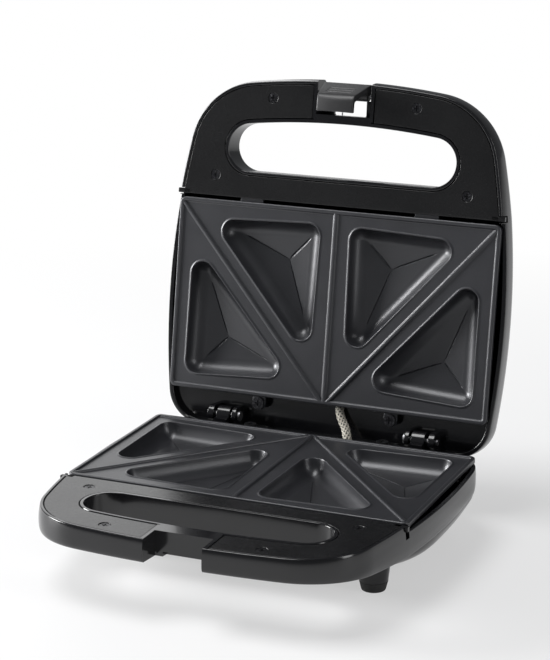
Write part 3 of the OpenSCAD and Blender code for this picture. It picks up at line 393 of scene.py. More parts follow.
class Rays:  # outlines read along the same rays, so that rings match point by point
    def __init__(self, rear):
        self.rear = rear
        guide = halfOutline(rear, shell["floorEdge"])
        self.turns = self.turnsOf(guide)
        step = shell["stepV"]
        at = [self.turnsOf(self.sideAt(v, shell["floorEdge"])[None])[0] for v in (step + 0.3, step - 0.3)]
        keep = [t for t in self.turns if min(abs(t - a) for a in at) > 0.012]
        self.turns = np.array(sorted(keep + at, reverse=True))
        self.stepAt = [int(np.argmin(abs(self.turns - a))) for a in at]

    def turnsOf(self, points):
        return np.arctan2(points[:, 1] - hub[1], points[:, 0] - hub[0])

    def sideAt(self, v, inset):
        r = shell["sideR"] - inset
        return np.array([shell["halfW"] - shell["sideR"] + math.sqrt(r * r - (v - shell["widestV"]) ** 2), v])

    def reach(self, inset, bowl=False):
        line = halfOutline(self.rear, inset, bowl, 5)
        turns = self.turnsOf(line)
        far = np.hypot(line[:, 0], line[:, 1] - hub[1])
        order = np.argsort(turns)
        return np.interp(self.turns, turns[order], far[order])

    def points(self, far):
        half = np.stack([far * np.cos(self.turns), hub[1] + far * np.sin(self.turns)], 1)
        half[0, 0] = half[-1, 0] = 0
        return half

    def wallPoints(self, inset):
        half = self.points(self.reach(inset))
        for index, v in zip(self.stepAt, (shell["stepV"] + 0.2, shell["stepV"] - 0.2)):
            half[index] = self.sideAt(v, inset)
        return half


def floorDepth(v):
    return shell["handleDepth"] + shell["slope"] * (shell["front"] - np.maximum(v, shell["slopeEnd"]))


def turnIn(depth, r):
    return r - math.sqrt(r * r - max(depth - shell["bowlCentre"], 0) ** 2)


def rimSteps(count=4):  # quarter round as pairs of shares
    return [(1 - math.cos(t), math.sin(t)) for t in np.linspace(0, math.pi / 2, count)]


def leanAt(z):
    return shell["rimLean"] * np.maximum(0, (z + shell["rimDepth"]) / shell["rimDepth"]) ** 2


def shellRings(rear, outer):
    rays = Rays(rear)
    wall, r = (0, shell["bowlR"]) if outer else (shell["wall"], shell["bowlR"] - shell["wall"])
    rimTop = np.where(np.arange(len(rays.turns)) <= rays.stepAt[0], 0.0, -shell["rimDrop"])
    inner = shell["rimLean"] + shell["rimW"]
    sideDepth = float(floorDepth(shell["slopeEnd"])) + 0.8 - wall
    edge = rays.reach(shell["floorEdge"] if outer else inner + 1.4)
    rings = []
    for degrees in (90, 82, 74, 66, 58, 50, 42, 34, 26):
        a = math.radians(degrees)
        half = rays.points(rays.reach(wall + r * (1 - math.cos(a)), True))
        rings.append(fullRing(half, np.full(len(half), -shell["bowlCentre"] - r * math.sin(a))))
    lastTurn = wall + turnIn(sideDepth, r)
    for more, below in ((0.25, 2.2), (-0.5, 0.9), (-1.5, 0.3), (-3.2, 0.05)):  # fillet under the handle
        half = rays.points(np.minimum(rays.reach(lastTurn + more, True), edge))
        rings.append(fullRing(half, -floorDepth(half[:, 1]) - below + wall))
    if outer:
        for share, drop in rimSteps(6)[::-1]:
            half = rays.points(rays.reach(shell["floorEdge"] * share))
            deep = floorDepth(half[:, 1])
            middle = shell["rimDepth"] + (deep - shell["rimDepth"]) * 0.35
            rings.append(fullRing(half, -(middle + (deep - middle) * drop)))
        half = rays.wallPoints(0)
        rings.append(fullRing(half, np.full(len(half), -float(shell["rimDepth"]))))
        for share in (0.3, 0.6, 0.85):
            z = -shell["rimDepth"] + (rimTop - shell["rimRound"] + shell["rimDepth"]) * share
            near = rays.wallPoints(0)
            far = rays.wallPoints(shell["rimLean"])
            mix = (leanAt(z) / shell["rimLean"])[:, None]
            rings.append(fullRing(near * (1 - mix) + far * mix, z))
        for share, rise in rimSteps():
            z = rimTop - shell["rimRound"] * (1 - rise)
            near, far = rays.wallPoints(0), rays.wallPoints(inner)
            mix = ((leanAt(z) + shell["rimRound"] * share) / inner)[:, None]
            rings.append(fullRing(near * (1 - mix) + far * mix, z))
    else:
        for inset, rise in ((inner + 1.4, 0.0), (inner + 0.5, 0.4), (inner, 1.5)):
            half = rays.points(rays.reach(inset))
            rings.append(fullRing(half, -floorDepth(half[:, 1]) + wall + rise))
        rings.append(fullRing(rays.wallPoints(inner), np.full(len(rays.turns), -float(shell["rimDepth"]))))
        for share, rise in rimSteps():
            half = rays.wallPoints(inner - shell["rimRound"] * share)
            rings.append(fullRing(half, rimTop - shell["rimRound"] * (1 - rise)))
    return rings


finger = dict(half=80, rear=143.3, front=183, crown=1.85, wall=2.4, lip=0.6)


def slotPlan(inset):
    endR = (finger["front"] - finger["rear"]) / 2 - finger["crown"]
    crown, reach = finger["crown"], finger["half"] - endR
    frontR = (reach ** 2 + (endR + 2 * crown) ** 2 - endR ** 2) / (4 * crown)
    c, f = (finger["half"] - endR, finger["rear"] + endR), (0, finger["front"] - frontR)
    turn = math.atan2(c[1] - f[1], c[0] - f[0])
    half = np.concatenate([arc(f, frontR - inset, math.pi / 2, turn, 12)[:-1],
                           arc(c, endR - inset, turn, -math.pi / 2, 30)])
    return np.concatenate([half, [[0, finger["rear"] + inset]]])


def slotTube():
    rings = []
    for inset, z in ((0, None), (0, -0.9), (0.08, -0.4), (0.3, -0.1), (finger["lip"], 0), (1.4, 0)):
        half = slotPlan(inset)
        rings.append(fullRing(half, 1.2 - floorDepth(half[:, 1]) if z is None else np.full(len(half), z)))
    return ringMesh("tube", rings)


def slotCutter():
    rings, lip, wall = [], finger["lip"], finger["wall"]
    for flare, below in ((lip, 3.0), (lip, 0.02), (0.4 * lip, -0.2), (0, -0.8)):
        half = slotPlan(wall - flare)
        rings.append(fullRing(half, -floorDepth(half[:, 1]) - below))
    for flare, z in ((0, -0.6), (0.12, -0.25), (0.4, -0.02), (0.5, 0.4), (0.5, 3)):
        half = slotPlan(wall - flare)
        rings.append(fullRing(half, np.full(len(half), float(z))))
    return ringMesh("cutter", rings)


notch = dict(half=18.3, wall=2.3, baseV=191.5, lidV=186, windowV=196, windowHalf=11,
             hookHalf=12, hookV=188.5, catchZ=-12.5)
hingeSize = dict(back=14.5, eyeR=5.8, earIn=63, earW=9, armsIn=58.6, innerArm=2.9, outerArmIn=74.4,
                 outerArm=4.1, lidShelf=9, shelfT=2.4, shelfFront=4)
stopGap = 0.3
tilt = math.radians(closing["openAngle"])
baseShelf = ((lidRear["back"] - hingeSize["back"] - math.cos(tilt) * (baseRear["back"] - hingeSize["back"]))
             / math.sin(tilt) + stopGap - closing["plateGap"] / 2)


def shelfMesh(rear, depth):
    half = halfOutline(rear, shell["wall"] / 2)
    half = half[half[:, 1] < hingeSize["shelfFront"]]
    half = np.concatenate([[[half[0, 0], hingeSize["shelfFront"]]], half])
    loop = [(x, -v) for x, v in half] + [(-x, -v) for x, v in half[-2::-1]]
    return ringMesh("shelf", [[(x, y, z) for x, y in loop] for z in (-depth - hingeSize["shelfT"], -depth)])


def lugLoop(back, front, low):  # an eye round the pin and its web, as [y, z]
    r, y0, z0 = hingeSize["eyeR"], hingeSize["back"], closing["plateGap"] / 2
    start = 0 if back > y0 + r else -84
    loop = [(back, low)] + ([(back, z0)] if start == 0 else [])
    loop += [(y0 + r * math.cos(math.radians(a)), z0 + r * math.sin(math.radians(a)))
             for a in np.linspace(start, 180, 22)]
    return loop + ([(front, z0)] if front < y0 - r else []) + [(front, low)]


def insetLoop(loop, d):  # mitred offset of a closed loop towards its inside
    p = np.array(loop, float)
    area = 0.5 * np.sum(p[:, 0] * np.roll(p[:, 1], -1) - np.roll(p[:, 0], -1) * p[:, 1])
    before, after = p - np.roll(p, 1, 0), np.roll(p, -1, 0) - p
    sides = [e / np.maximum(np.linalg.norm(e, axis=1, keepdims=True), 1e-9) for e in (before, after)]
    n1, n2 = (np.stack([-e[:, 1], e[:, 0]], 1) * math.copysign(1, area) for e in sides)
    mitre = n1 + n2
    return p + mitre / np.maximum((mitre * mitre).sum(1, keepdims=True) / 2, 0.3) * d


def lugMesh(x0, x1, loop, soft=0.4):
    rings = []
    for x, share in ((x0, 1), (x0 + 0.3 * soft, 0.3), (x0 + soft, 0),
                     (x1 - soft, 0), (x1 - 0.3 * soft, 0.3), (x1, 1)):
        rings.append([(x, y, z) for y, z in insetLoop(loop, soft * share)])
    return ringMesh("lug", rings)


def shellMesh(rear, isLid):
    rings = shellRings(rear, True) + shellRings(rear, False)[::-1]
    body = ringMesh("body", rings)
    body = boolean(body, slotTube(), "UNION")
    floorLow = 1.2 - float(floorDepth(205))
    half, wall = notch["half"], notch["wall"]
    backV = notch["lidV"] if isLid else notch["baseV"]
    body = boolean(body, boxMesh(-half - 1, half + 1, finger["front"] - wall, backV, floorLow, 0), "UNION")
    body = boolean(body, mirrorMesh(boxMesh(half, half + wall, finger["front"], 205, floorLow, 0)), "UNION")
    depth = hingeSize["lidShelf"] if isLid else baseShelf
    body = boolean(body, shelfMesh(rear, depth), "UNION")
    body = boolean(body, slotCutter(), "DIFFERENCE")
    if isLid:
        body = boolean(body, boxMesh(-half, half, notch["windowV"], 215, -45, 5, 0.8), "DIFFERENCE")
        arm = boxMesh(-half, half, backV, 215, -shell["handleDepth"] + wall, 5, 0.8)
        body = boolean(body, arm, "DIFFERENCE")
        window = notch["windowHalf"]
        body = boolean(body, boxMesh(-window, window, backV, 200, -45, 5, 0.8), "DIFFERENCE")
    else:
        body = boolean(body, boxMesh(-130, 130, -30, -9, -depth, 10), "DIFFERENCE")
        body = boolean(body, boxMesh(-half, half, backV, 215, -45, 5, 0.8), "DIFFERENCE")
        hook = notch["hookHalf"] + 1.5
        catch = boxMesh(-hook, hook, notch["hookV"] - 2, backV + 2, -45, notch["catchZ"])
        body = boolean(body, catch, "DIFFERENCE")
    tab = boxMesh(106, 117, coverSize["rear"] - 0.8, coverSize["rear"] + coverSize["tabW"] + 0.4, -8, 5)
    body = boolean(body, mirrorMesh(tab), "DIFFERENCE")
    lugs = []
    if isLid:
        loop = lugLoop(rear["back"] - shell["wall"] / 2, hingeSize["back"] - hingeSize["eyeR"], -depth - 1)
        for start, width in ((hingeSize["armsIn"], hingeSize["innerArm"]),
                             (hingeSize["outerArmIn"], hingeSize["outerArm"])):
            lugs.append(lugMesh(start, start + width, loop))
    else:
        loop = lugLoop(hingeSize["back"] + 0.5, 4.5, -depth - 1)
        lugs.append(lugMesh(hingeSize["earIn"], hingeSize["earIn"] + hingeSize["earW"], loop))
    return boolean(body, mirrorMesh(joinMeshes("lugs", lugs)), "UNION")


foot = dict(front=(84, 111), rear=(78, -2), stand=50, height=6, topR=8.7, flare=2.6, legTop=24)
coverSize = dict(rear=128.4, t=2.2, gap=0.4, drop=0.3, round=0.35, tabW=3, tabT=3, tabOut=1.8, tabRoot=4.7,
                 wallHalf=96, wallT=1.8, wallDown=1.2)


def legMesh(place):
    z0 = -foot["stand"] + foot["height"]
    mesh = lathe([(foot["topR"] - 0.5, z0), (foot["topR"] - 0.1, z0 + 0.15), (foot["topR"], z0 + 0.5),
                  (foot["topR"] + foot["flare"], z0 + foot["legTop"])], 48)
    mesh.transform(Matrix.Translation((place[0], -place[1], 0)))
    return mesh


def baseLegs():  # legs with the shell's hollow taken out of them
    legs = mirrorMesh(joinMeshes("legs", [legMesh(foot["front"]), legMesh(foot["rear"])]))
    space = shellRings(baseRear, False)
    space.append([(x, y, 5) for x, y, z in space[-1]])
    return boolean(legs, ringMesh("space", space), "DIFFERENCE")


baseShell = boolean(shellMesh(baseRear, False), baseLegs(), "UNION")
finishMesh(baseShell, onBase, "baseShell", "shell_black", "base", ["base_casing"])
print("base shell", len(baseShell.polygons))
lidShell = shellMesh(lidRear, True)
finishMesh(lidShell, onLid, "lidShell", "shell_black", "lid", ["lid_casing"])
print("lid shell", len(lidShell.polygons))


# Handle covers: a flat satin moulding with a skirt, side tabs and cups for its screws
screws = dict(cover=[(48.8, 194.2), (86.1, 142)], headR=3.2, headGap=0.25, cupWall=1.4, seat=-2.5,
              cupFloor=1.1, shankR=1.65, plate=(45.7, -4.5), plateHeadR=3.9)


def slabMesh(outer, holes, top, bottom, soft):  # flat piece with rounded top edges; loops are [x, y]
    verts, faces, topLoops, bottomLoops = [], [], [], []
    for loop, side in [(outer, 1)] + [(hole, -1) for hole in holes]:
        rings = [(np.array(loop, float), bottom)]
        rings += [(insetLoop(loop, side * soft * share), top - soft * (1 - rise))
                  for share, rise in rimSteps()]
        first, n = len(verts), len(loop)
        for ring, z in rings:
            verts += [(x, y, z) for x, y in ring]
        for k in range(len(rings) - 1):
            low, high = first + k * n, first + (k + 1) * n
            faces += [[low + i, low + (i + 1) % n, high + (i + 1) % n, high + i] for i in range(n)]
        bottomLoops.append(list(range(first, first + n)))
        topLoops.append(list(range(len(verts) - n, len(verts))))
    for group in (topLoops, bottomLoops):
        flat = [index for loop in group for index in loop]
        corners = [[Vector(verts[i]) for i in loop] for loop in group]
        faces += [[flat[i] for i in tri] for tri in tessellate_polygon(corners)]
    mesh = bpy.data.meshes.new("slab")
    mesh.from_pydata(verts, [], faces)
    mesh.validate()
    return outward(mesh)


def circleLoop(place, r, sides=36):
    return [(place[0] + r * math.cos(2 * math.pi * i / sides),
             -place[1] + r * math.sin(2 * math.pi * i / sides)) for i in range(sides)]


def coverMesh():
    inset = shell["rimLean"] + shell["rimW"] + coverSize["gap"]
    half = halfOutline(lidRear, inset, fine=2)
    cutAt = int(np.argmax(half[:, 1] < coverSize["rear"]))
    share = (half[cutAt - 1, 1] - coverSize["rear"]) / (half[cutAt - 1, 1] - half[cutAt, 1])
    corner = half[cutAt - 1] + (half[cutAt] - half[cutAt - 1]) * share
    side = notch["half"] + notch["wall"] + coverSize["gap"]
    slot = slotPlan(-coverSize["gap"])
    order = np.argsort(slot[:16, 0])
    slotV = float(np.interp(side, slot[:16, 0][order], slot[:16, 1][order]))
    outerV = float(np.interp(side, half[:20, 0], half[:20, 1]))
    outerEdge = half[:cutAt][half[:cutAt, 0] > side + 0.5]
    slotEdge = slot[slot[:, 0] > side + 0.5]
    slotRear = slot[-1][None]
    # one C-shaped half joined at the rear; the notch opens the front into the slot
    right = np.concatenate([slotRear, slotEdge[::-1], [[side, slotV]], [[side, outerV]], outerEdge, [corner],
                            [[0, coverSize["rear"]]]])
    loop = [(x, -v) for x, v in right] + [(-x, -v) for x, v in right[-2:0:-1]]
    holeR, cupR = screws["headR"] + screws["headGap"], screws["headR"] + screws["cupWall"]
    holes = [circleLoop((s * x, v), holeR) for x, v in screws["cover"] for s in (-1, 1)]
    top, bottom = -coverSize["drop"], -coverSize["drop"] - coverSize["t"]
    plate = slabMesh(loop, holes, top, bottom, coverSize["round"])
    tip = shellSideX(coverSize["rear"] + coverSize["tabW"] / 2) + coverSize["tabOut"]
    rear = coverSize["rear"]
    tab = boxMesh(corner[0] - coverSize["tabRoot"], tip, rear, rear + coverSize["tabW"],
                  top - coverSize["tabT"], top, 0.3)
    rearWall = boxMesh(-coverSize["wallHalf"], coverSize["wallHalf"], rear, rear + coverSize["wallT"],
                       bottom - coverSize["wallDown"], top - 1, 0.2)
    extras = [mirrorMesh(tab), rearWall]
    low = screws["seat"] - screws["cupFloor"]
    for x, v in screws["cover"]:
        cup = ringMesh("cup", [[(px, py, z) for px, py in circleLoop((x, v), r)] for r, z in (
            (screws["shankR"], low), (cupR, low), (cupR, top - 0.6), (holeR, top - 0.6),
            (holeR, screws["seat"]), (screws["shankR"], screws["seat"]), (screws["shankR"], low))], False)
        extras.append(mirrorMesh(weld(cup)))
    return joinMeshes("cover", [plate] + extras)


def weld(mesh, near=1e-4):
    work = bmesh.new()
    work.from_mesh(mesh)
    bmesh.ops.remove_doubles(work, verts=work.verts, dist=near)
    work.to_mesh(mesh)
    work.free()
    return mesh


def shellSideX(v):
    r = shell["sideR"]
    return shell["halfW"] - r + math.sqrt(r ** 2 - (v - shell["widestV"]) ** 2) - shell["rimLean"]


for name, place, body, node in (("baseHandleCover", onBase, "base", "base_handle_cover"),
                                ("lidHandleCover", onLid, "lid", "lid_handle_cover")):
    finishMesh(coverMesh(), place, name, "cover_black", body, [node])
print("handle covers")


# Cooking plates: lofted wells in a flat face, with bead, cutting ridges, lips and floor creases
well = dict(wallDepth=10.3, wallW=9.5, fall=2.2, corner=8, lipH=0.45, lipW=1.5, creaseW=0.75, creaseD=0.45,
            creaseAt=(-2.2, -1.2, -0.8, -0.5, -0.3, -0.12, 0, 0.12, 0.3, 0.5, 0.8, 1.2, 2.2),
            front=[(87.5, 113), (12.2, 27), (10.3, 116)], rear=[(98.7, 97), (99.5, 9.6), (23.8, 13.8)])
ridge = dict(centreW=3.0, cutW=2.5, foot=0.7, ends=[(107.2, 122.4), (1.5, 0.9)])


def incentre(t):
    a, b, c = (np.linalg.norm(t[i] - t[j]) for i, j in ((1, 2), (0, 2), (0, 1)))
    middle = (a * t[0] + b * t[1] + c * t[2]) / (a + b + c)
    e1, e2 = t[1] - t[0], t[2] - t[0]
    return middle, abs(e1[0] * e2[1] - e1[1] * e2[0]) / (a + b + c)


def wellRing(t, inset, r, z, crease=0.0):  # rounded triangle of three corners with 13 points each
    middle, inR = incentre(t)
    corners = [p + (middle - p) * inset / inR for p in t]
    size = min(1.0, (inR - inset) / 3.5)
    ring = []
    for k in range(3):
        p, before, after = corners[k], corners[(k + 2) % 3], corners[(k + 1) % 3]
        e1 = (before - p) / np.linalg.norm(before - p)
        e2 = (after - p) / np.linalg.norm(after - p)
        if crease:
            for s in well["creaseAt"]:
                point = p + (e1 if s < 0 else e2) * abs(s) * well["creaseW"] * 2 * size
                dip = crease * max(0.0, 1 - s * s * 1.7) ** 2
                ring.append((point[0], -point[1], z - dip))
            continue
        halfTurn = math.acos(float(e1 @ e2)) / 2
        c = p + (e1 + e2) / np.linalg.norm(e1 + e2) * r / math.sin(halfTurn)
        p1, p2 = p + e1 * r / math.tan(halfTurn) - c, p + e2 * r / math.tan(halfTurn) - c
        start = math.atan2(p1[1], p1[0])
        turn = (math.atan2(p2[1], p2[0]) - start + 3 * math.pi) % (2 * math.pi) - math.pi
        for i in range(13):
            a = start + turn * i / 12
            ring.append((c[0] + r * math.cos(a), -(c[1] + r * math.sin(a)), z))
    return ring


def wellRings(t, grow, face):  # from the face down to the middle of the floor
    t = np.array(t, float)
    middle, inR = incentre(t)
    rings, corner, wallW, depth = [], well["corner"], well["wallW"], well["wallDepth"]
    if not grow:
        lipW, lipH = well["lipW"], well["lipH"]
        for out, up in ((lipW + 0.5, 0), (lipW, 0.03), (lipW * 0.75, lipH * 0.45), (lipW * 0.45, lipH * 0.9),
                        (lipW * 0.25, lipH), (0.1, lipH * 0.85), (-0.12, lipH * 0.3), (-0.2, -0.4)):
            rings.append(wellRing(t, -out, corner + out, face + up))
    else:
        rings += [wellRing(t, -grow, corner + grow, face), wellRing(t, -grow, corner + grow, face - 1)]
    for degrees in (12, 20, 28, 36, 44, 52, 60, 68, 76, 84, 90):
        a = math.radians(degrees)
        inset = wallW * (1 - math.cos(a))
        rings.append(wellRing(t, inset - grow + (0 if grow else 0.2), max(corner - inset, 1.0) + grow,
                              face - depth * math.sin(a)))
    for share in np.linspace(0.06, 0.97, 12):
        inset = wallW + (inR - wallW) * share
        z = face - depth - well["fall"] * share
        if grow:
            rings.append(wellRing(t, inset, max(1.2 * (1 - share), 0.05), z))
        else:
            rings.append(wellRing(t, inset, 1, z, well["creaseD"] * min(1, share * 6)))
    return rings


def addRings(verts, faces, rings, closeEnd=True):
    first, n = len(verts), len(rings[0])
    for ring in rings:
        verts += ring
    for k in range(len(rings) - 1):
        low, high = first + k * n, first + (k + 1) * n
        faces += [[low + i, low + (i + 1) % n, high + (i + 1) % n, high + i] for i in range(n)]
    if closeEnd:
        faces.append(list(range(len(verts) - n, len(verts))))
    return list(range(first, first + n))


def roundedRect(inset, r):
    w, d = plateSize["w"] / 2 - inset, plateSize["d"] / 2 - inset
    loop = []
    for k, (sx, sy) in enumerate(((1, 1), (-1, 1), (-1, -1), (1, -1))):
        for i in range(9):
            a = math.radians(90 * k + 90 * i / 8)
            loop.append((sx * (w - r) + r * math.cos(a),
                         -plateSize["d"] / 2 + sy * (d - r) + r * math.sin(a)))
    return loop


def ridgeMesh(start, end, width, face):
    a, b = np.array(start, float), np.array(end, float)
    along = (b - a) / np.linalg.norm(b - a)
    across = np.array([along[1], -along[0]])
    h, foot = plateSize["drop"], ridge["foot"]
    profile = [(-width / 2 - foot, -0.35), (-width / 2 - foot, 0.0), (-width / 2 - 0.25, 0.12),
               (-width / 2, 0.4), (-width / 2 + 0.12, h - 0.35), (-width / 2 + 0.5, h - 0.06), (0, h + 0.02)]
    profile += [(-x, z) for x, z in profile[-2::-1]]
    rings = []
    for p in (a, b):
        rings.append([(*(p + across * x) * (1, -1), face + z) for x, z in profile])
    return ringMesh("ridge", rings)


def plateMesh():
    face, under = -plateSize["drop"], -plateSize["drop"] - plateSize["t"]
    bead, corner = plateSize["beadW"], plateSize["corner"]
    triangles = [np.array(t, float) * (s, 1) for t in (well["front"], well["rear"]) for s in (-1, 1)]
    triangles = [t if k % 2 else t[::-1] for k, t in enumerate(triangles)]
    verts, faces = [], []
    edge = [(bead + 0.9, face), (bead + 0.35, face + 0.08), (bead, face + 0.35), (bead - 0.1, -0.35),
            (bead - 0.45, -0.05), (bead - 0.9, 0), (0.9, 0), (0.45, -0.08), (0.12, -0.4), (0, -0.8),
            (0, under + 0.4), (0.15, under + 0.1), (0.5, under)]
    rings = [[(x, y, z) for x, y in roundedRect(inset, max(corner - inset, 1.2))] for inset, z in edge]
    outer = addRings(verts, faces, rings, False)
    n = len(outer)
    lower = list(range(len(verts) - n, len(verts)))
    topLoops = [outer] + [addRings(verts, faces, wellRings(t, 0, face)) for t in triangles]
    lowLoops = [lower] + [addRings(verts, faces, wellRings(t, plateSize["t"], under)) for t in triangles]
    for group in (topLoops, lowLoops):
        flat = [index for loop in group for index in loop]
        corners = [[Vector(verts[i]) for i in loop] for loop in group]
        faces += [[flat[i] for i in tri] for tri in tessellate_polygon(corners)]
    mesh = bpy.data.meshes.new("plate")
    mesh.from_pydata(verts, [], faces)
    mesh.validate()
    parts = [outward(mesh), ridgeMesh((0, 1.2), (0, plateSize["d"] - 1.2), ridge["centreW"], face)]
    for s in (-1, 1):
        parts.append(ridgeMesh((s * ridge["ends"][1][0], ridge["ends"][1][1]),
                               (s * ridge["ends"][0][0], ridge["ends"][0][1]), ridge["cutW"], face))
    x, v = screws["plate"]
    lugR, (lugLow, lugTop) = screws["plateHeadR"] + plateSize["lugWall"], plateSize["lugZ"]
    eye = [(x + lugR * math.cos(a), -v + lugR * math.sin(a)) for a in np.linspace(0, math.pi, 16)]
    lug = slabMesh(eye + [(x - lugR, -2), (x + lugR, -2)], [circleLoop((x, v), screws["shankR"])],
                   lugTop, lugLow, 0.3)
    parts.append(mirrorMesh(lug))
    tongue = boxMesh(*plateSize["tongue"], plateSize["d"] - 2, plateSize["d"] + plateSize["tongueOut"],
                     *plateSize["tongueZ"], 0.3)
    parts.append(mirrorMesh(tongue))
    return joinMeshes("plate", parts)


for name, place, body, node in (("lowerPlate", onBase, "base", "lower_plate"),
                                ("upperPlate", onLid, "lid", "upper_plate")):
    finishMesh(plateMesh(), place, name, "nonstick_plate", body, [node], 40)
print("cooking plates")


# Latch: tapering moulding with a bowed, hooked end, grip grooves, barrels and a gap for its spring
latch = dict(half=16, hookHalf=12, far=207.0, near=198.5, hook=188.5, reach=16.4, hookT=3, t=3.3, bow=0.25,
             endBow=0.8, pivot=(199.5, -6), barrelR=3.6, springHalf=4.5, soft=0.5,
             gripFrom=6.8, gripPitch=3.3, gripHalf=9.6, gripR=1.1, gripDepth=0.65)


def softLoop(points, radii, steps=5):  # closed loop with its corners rounded
    p = [np.array(q, float) for q in points]
    loop = []
    for k, (here, r) in enumerate(zip(p, radii)):
        e1, e2 = p[k - 1] - here, p[(k + 1) % len(p)] - here
        d1, d2 = np.linalg.norm(e1), np.linalg.norm(e2)
        reach = min(r, 0.45 * d1, 0.45 * d2)
        a, b = here + e1 / d1 * reach, here + e2 / d2 * reach
        loop += [tuple((1 - t) ** 2 * a + 2 * t * (1 - t) * here + t * t * b)
                 for t in np.linspace(0, 1, steps + 1)]
    return loop


def latchMesh():
    far, near, hook, reach, t = (latch[key] for key in ("far", "near", "hook", "reach", "t"))
    pv, pz = latch["pivot"]
    profile = softLoop([(far, pz - 0.6), (near, reach), (hook, reach), (hook, reach - latch["hookT"]),
                        (near - t, reach - latch["hookT"]), (far - t - 2, -0.5), (pv, pz + 3), (pv, pz - 0.6)],
                       (1.2, 4.5, 0.9, 0.9, 1.5, 1.5, 0.9, 0.9))
    rings = []
    spots = [(-1, latch["soft"] * a, latch["soft"] * b) for a, b in (
        (0, 1), (0.05, 0.69), (0.2, 0.4), (0.45, 0.17), (1, 0))]
    body = [(f, 0, 0) for f in np.linspace(-0.9, 0.9, 15)]
    for f, short, inset in spots + body + [(1, short, inset) for _, short, inset in spots[::-1]]:
        ring = []
        for v, z in insetLoop(profile, inset):
            rise = min(max((z + 2) / (reach + 2), 0), 1)
            half = latch["half"] + (latch["hookHalf"] - latch["half"]) * rise
            x = f * half if abs(f) < 1 else f * (half - short)
            s = (x / half) ** 2
            tip = min(max((z - reach + latch["hookT"]) / latch["hookT"], 0), 1)
            ring.append((x, -(v + latch["bow"] * (1 - s) * rise), z - latch["endBow"] * s * tip))
        rings.append(ring)
    mesh = ringMesh("latch", rings)
    soft = 0.4
    lo, hi, r = latch["springHalf"], latch["half"] - 1, latch["barrelR"]
    barrel = crossRod(pv, pz, [(r - soft, lo), (r, lo + soft), (r, hi - soft), (r - soft, hi)])
    mesh = boolean(mesh, mirrorMesh(barrel), "UNION")
    mesh = boolean(mesh, boxMesh(-lo, lo, pv - 9.5, pv + r, -20, -1), "DIFFERENCE")
    for i in range(3):
        z = reach - latch["gripFrom"] - latch["gripPitch"] * i
        face = near + (far - near) * (reach - z) / (reach - pz + 0.6)
        end, w = latch["gripHalf"], latch["gripR"]
        rod = [(0.1, -end), (0.6 * w, -end + 0.3), (0.92 * w, -end + 1), (w, -end + 2)]
        rod += [(r, -x) for r, x in rod[::-1]]
        mesh = boolean(mesh, crossRod(face + latch["bow"] + w - latch["gripDepth"], z, rod, 16), "DIFFERENCE")
    return mesh


def latchSatin():
    f = Finish("latchSatin")
    cloud = f.noise(0.008, 3)
    grain = f.noise(0.0003, 3, 0.65)
    f.put("Base Color", f.blend(cloud, (0.014, 0.014, 0.015), (0.020, 0.020, 0.021)))
    f.put("Roughness", 0.34 + cloud * 0.06 + grain * 0.08)
    return f.bump(grain, 0.00003, 0.8).material


latchPart = finishMesh(latchMesh(), onLid, "latchPart", "shell_black", "latch", ["latch"])
latchPart.data.materials[0] = latchSatin()
print("latch")


# Lead sleeve: a braid of flat strands, over and under each other round a core
sleeve = dict(route=[(9, 28.5, 17.5), (9, 25.4, 14), (9.5, 23, 10.5), (11, 21, 7), (13, 19.8, 3.5),
                     (15.5, 18, 0), (18, 14.6, -5), (20, 12.4, -10), (20.5, 12, -15), (20.5, 12, -20)],
              strands=6, r=2.5, coreR=2.25, swing=0.18, halfW=0.5, halfT=0.2, turn=0.34,
              strandShape=((1, 0), (0.6, 0.85), (-0.6, 0.85), (-1, 0), (-0.6, -0.85), (0.6, -0.85)))


def sleeveLine(count):  # evenly spaced points on the route, each with two directions across it
    route = np.array(sleeve["route"], float)
    fine = []
    for k in range(len(route) - 1):
        p0, p1, p2, p3 = (route[min(max(j, 0), len(route) - 1)] for j in (k - 1, k, k + 1, k + 2))
        for t in np.linspace(0, 1, 12)[:-1]:
            fine.append(0.5 * (2 * p1 + (p2 - p0) * t + (2 * p0 - 5 * p1 + 4 * p2 - p3) * t * t
                               + (3 * p1 - p0 - 3 * p2 + p3) * t ** 3))
    fine = np.array(fine + [route[-1]])
    run = np.concatenate([[0], np.cumsum(np.linalg.norm(np.diff(fine, axis=0), axis=1))])
    along = np.linspace(0, run[-1], count)
    points = np.stack([np.interp(along, run, fine[:, k]) for k in range(3)], 1)
    heading = np.gradient(points, axis=0)
    heading /= np.linalg.norm(heading, axis=1, keepdims=True)
    a = np.cross([0, 1, 0], heading)
    a /= np.linalg.norm(a, axis=1, keepdims=True)
    return along, points, heading, a, np.cross(heading, a)


def coreMesh():
    along, points, heading, a, b = sleeveLine(40)
    return ringMesh("core", [[p + sleeve["coreR"] * (math.cos(t) * u + math.sin(t) * w)
                              for t in np.linspace(0, 2 * math.pi, 20, endpoint=False)]
                             for p, u, w in zip(points, a, b)])


def braidMesh():
    along, points, heading, a, b = sleeveLine(230)
    parts = []
    for way in (1, -1):
        for k in range(sleeve["strands"]):
            turns = sleeve["turn"] * along
            angle = 2 * math.pi * k / sleeve["strands"] + way * turns
            far = sleeve["r"] + way * sleeve["swing"] * np.cos(sleeve["strands"] * turns)
            rings = []
            for p, u, w, h, t, r in zip(points, a, b, heading, angle, far):
                out = math.cos(t) * u + math.sin(t) * w
                side = way * (math.cos(t) * w - math.sin(t) * u) * 0.71 - h * 0.71
                centre = p + out * r
                rings.append([centre + side * sleeve["halfW"] * c + out * sleeve["halfT"] * d
                              for c, d in sleeve["strandShape"]])
            parts.append(ringMesh("strand", rings))
    return joinMeshes("braid", parts)


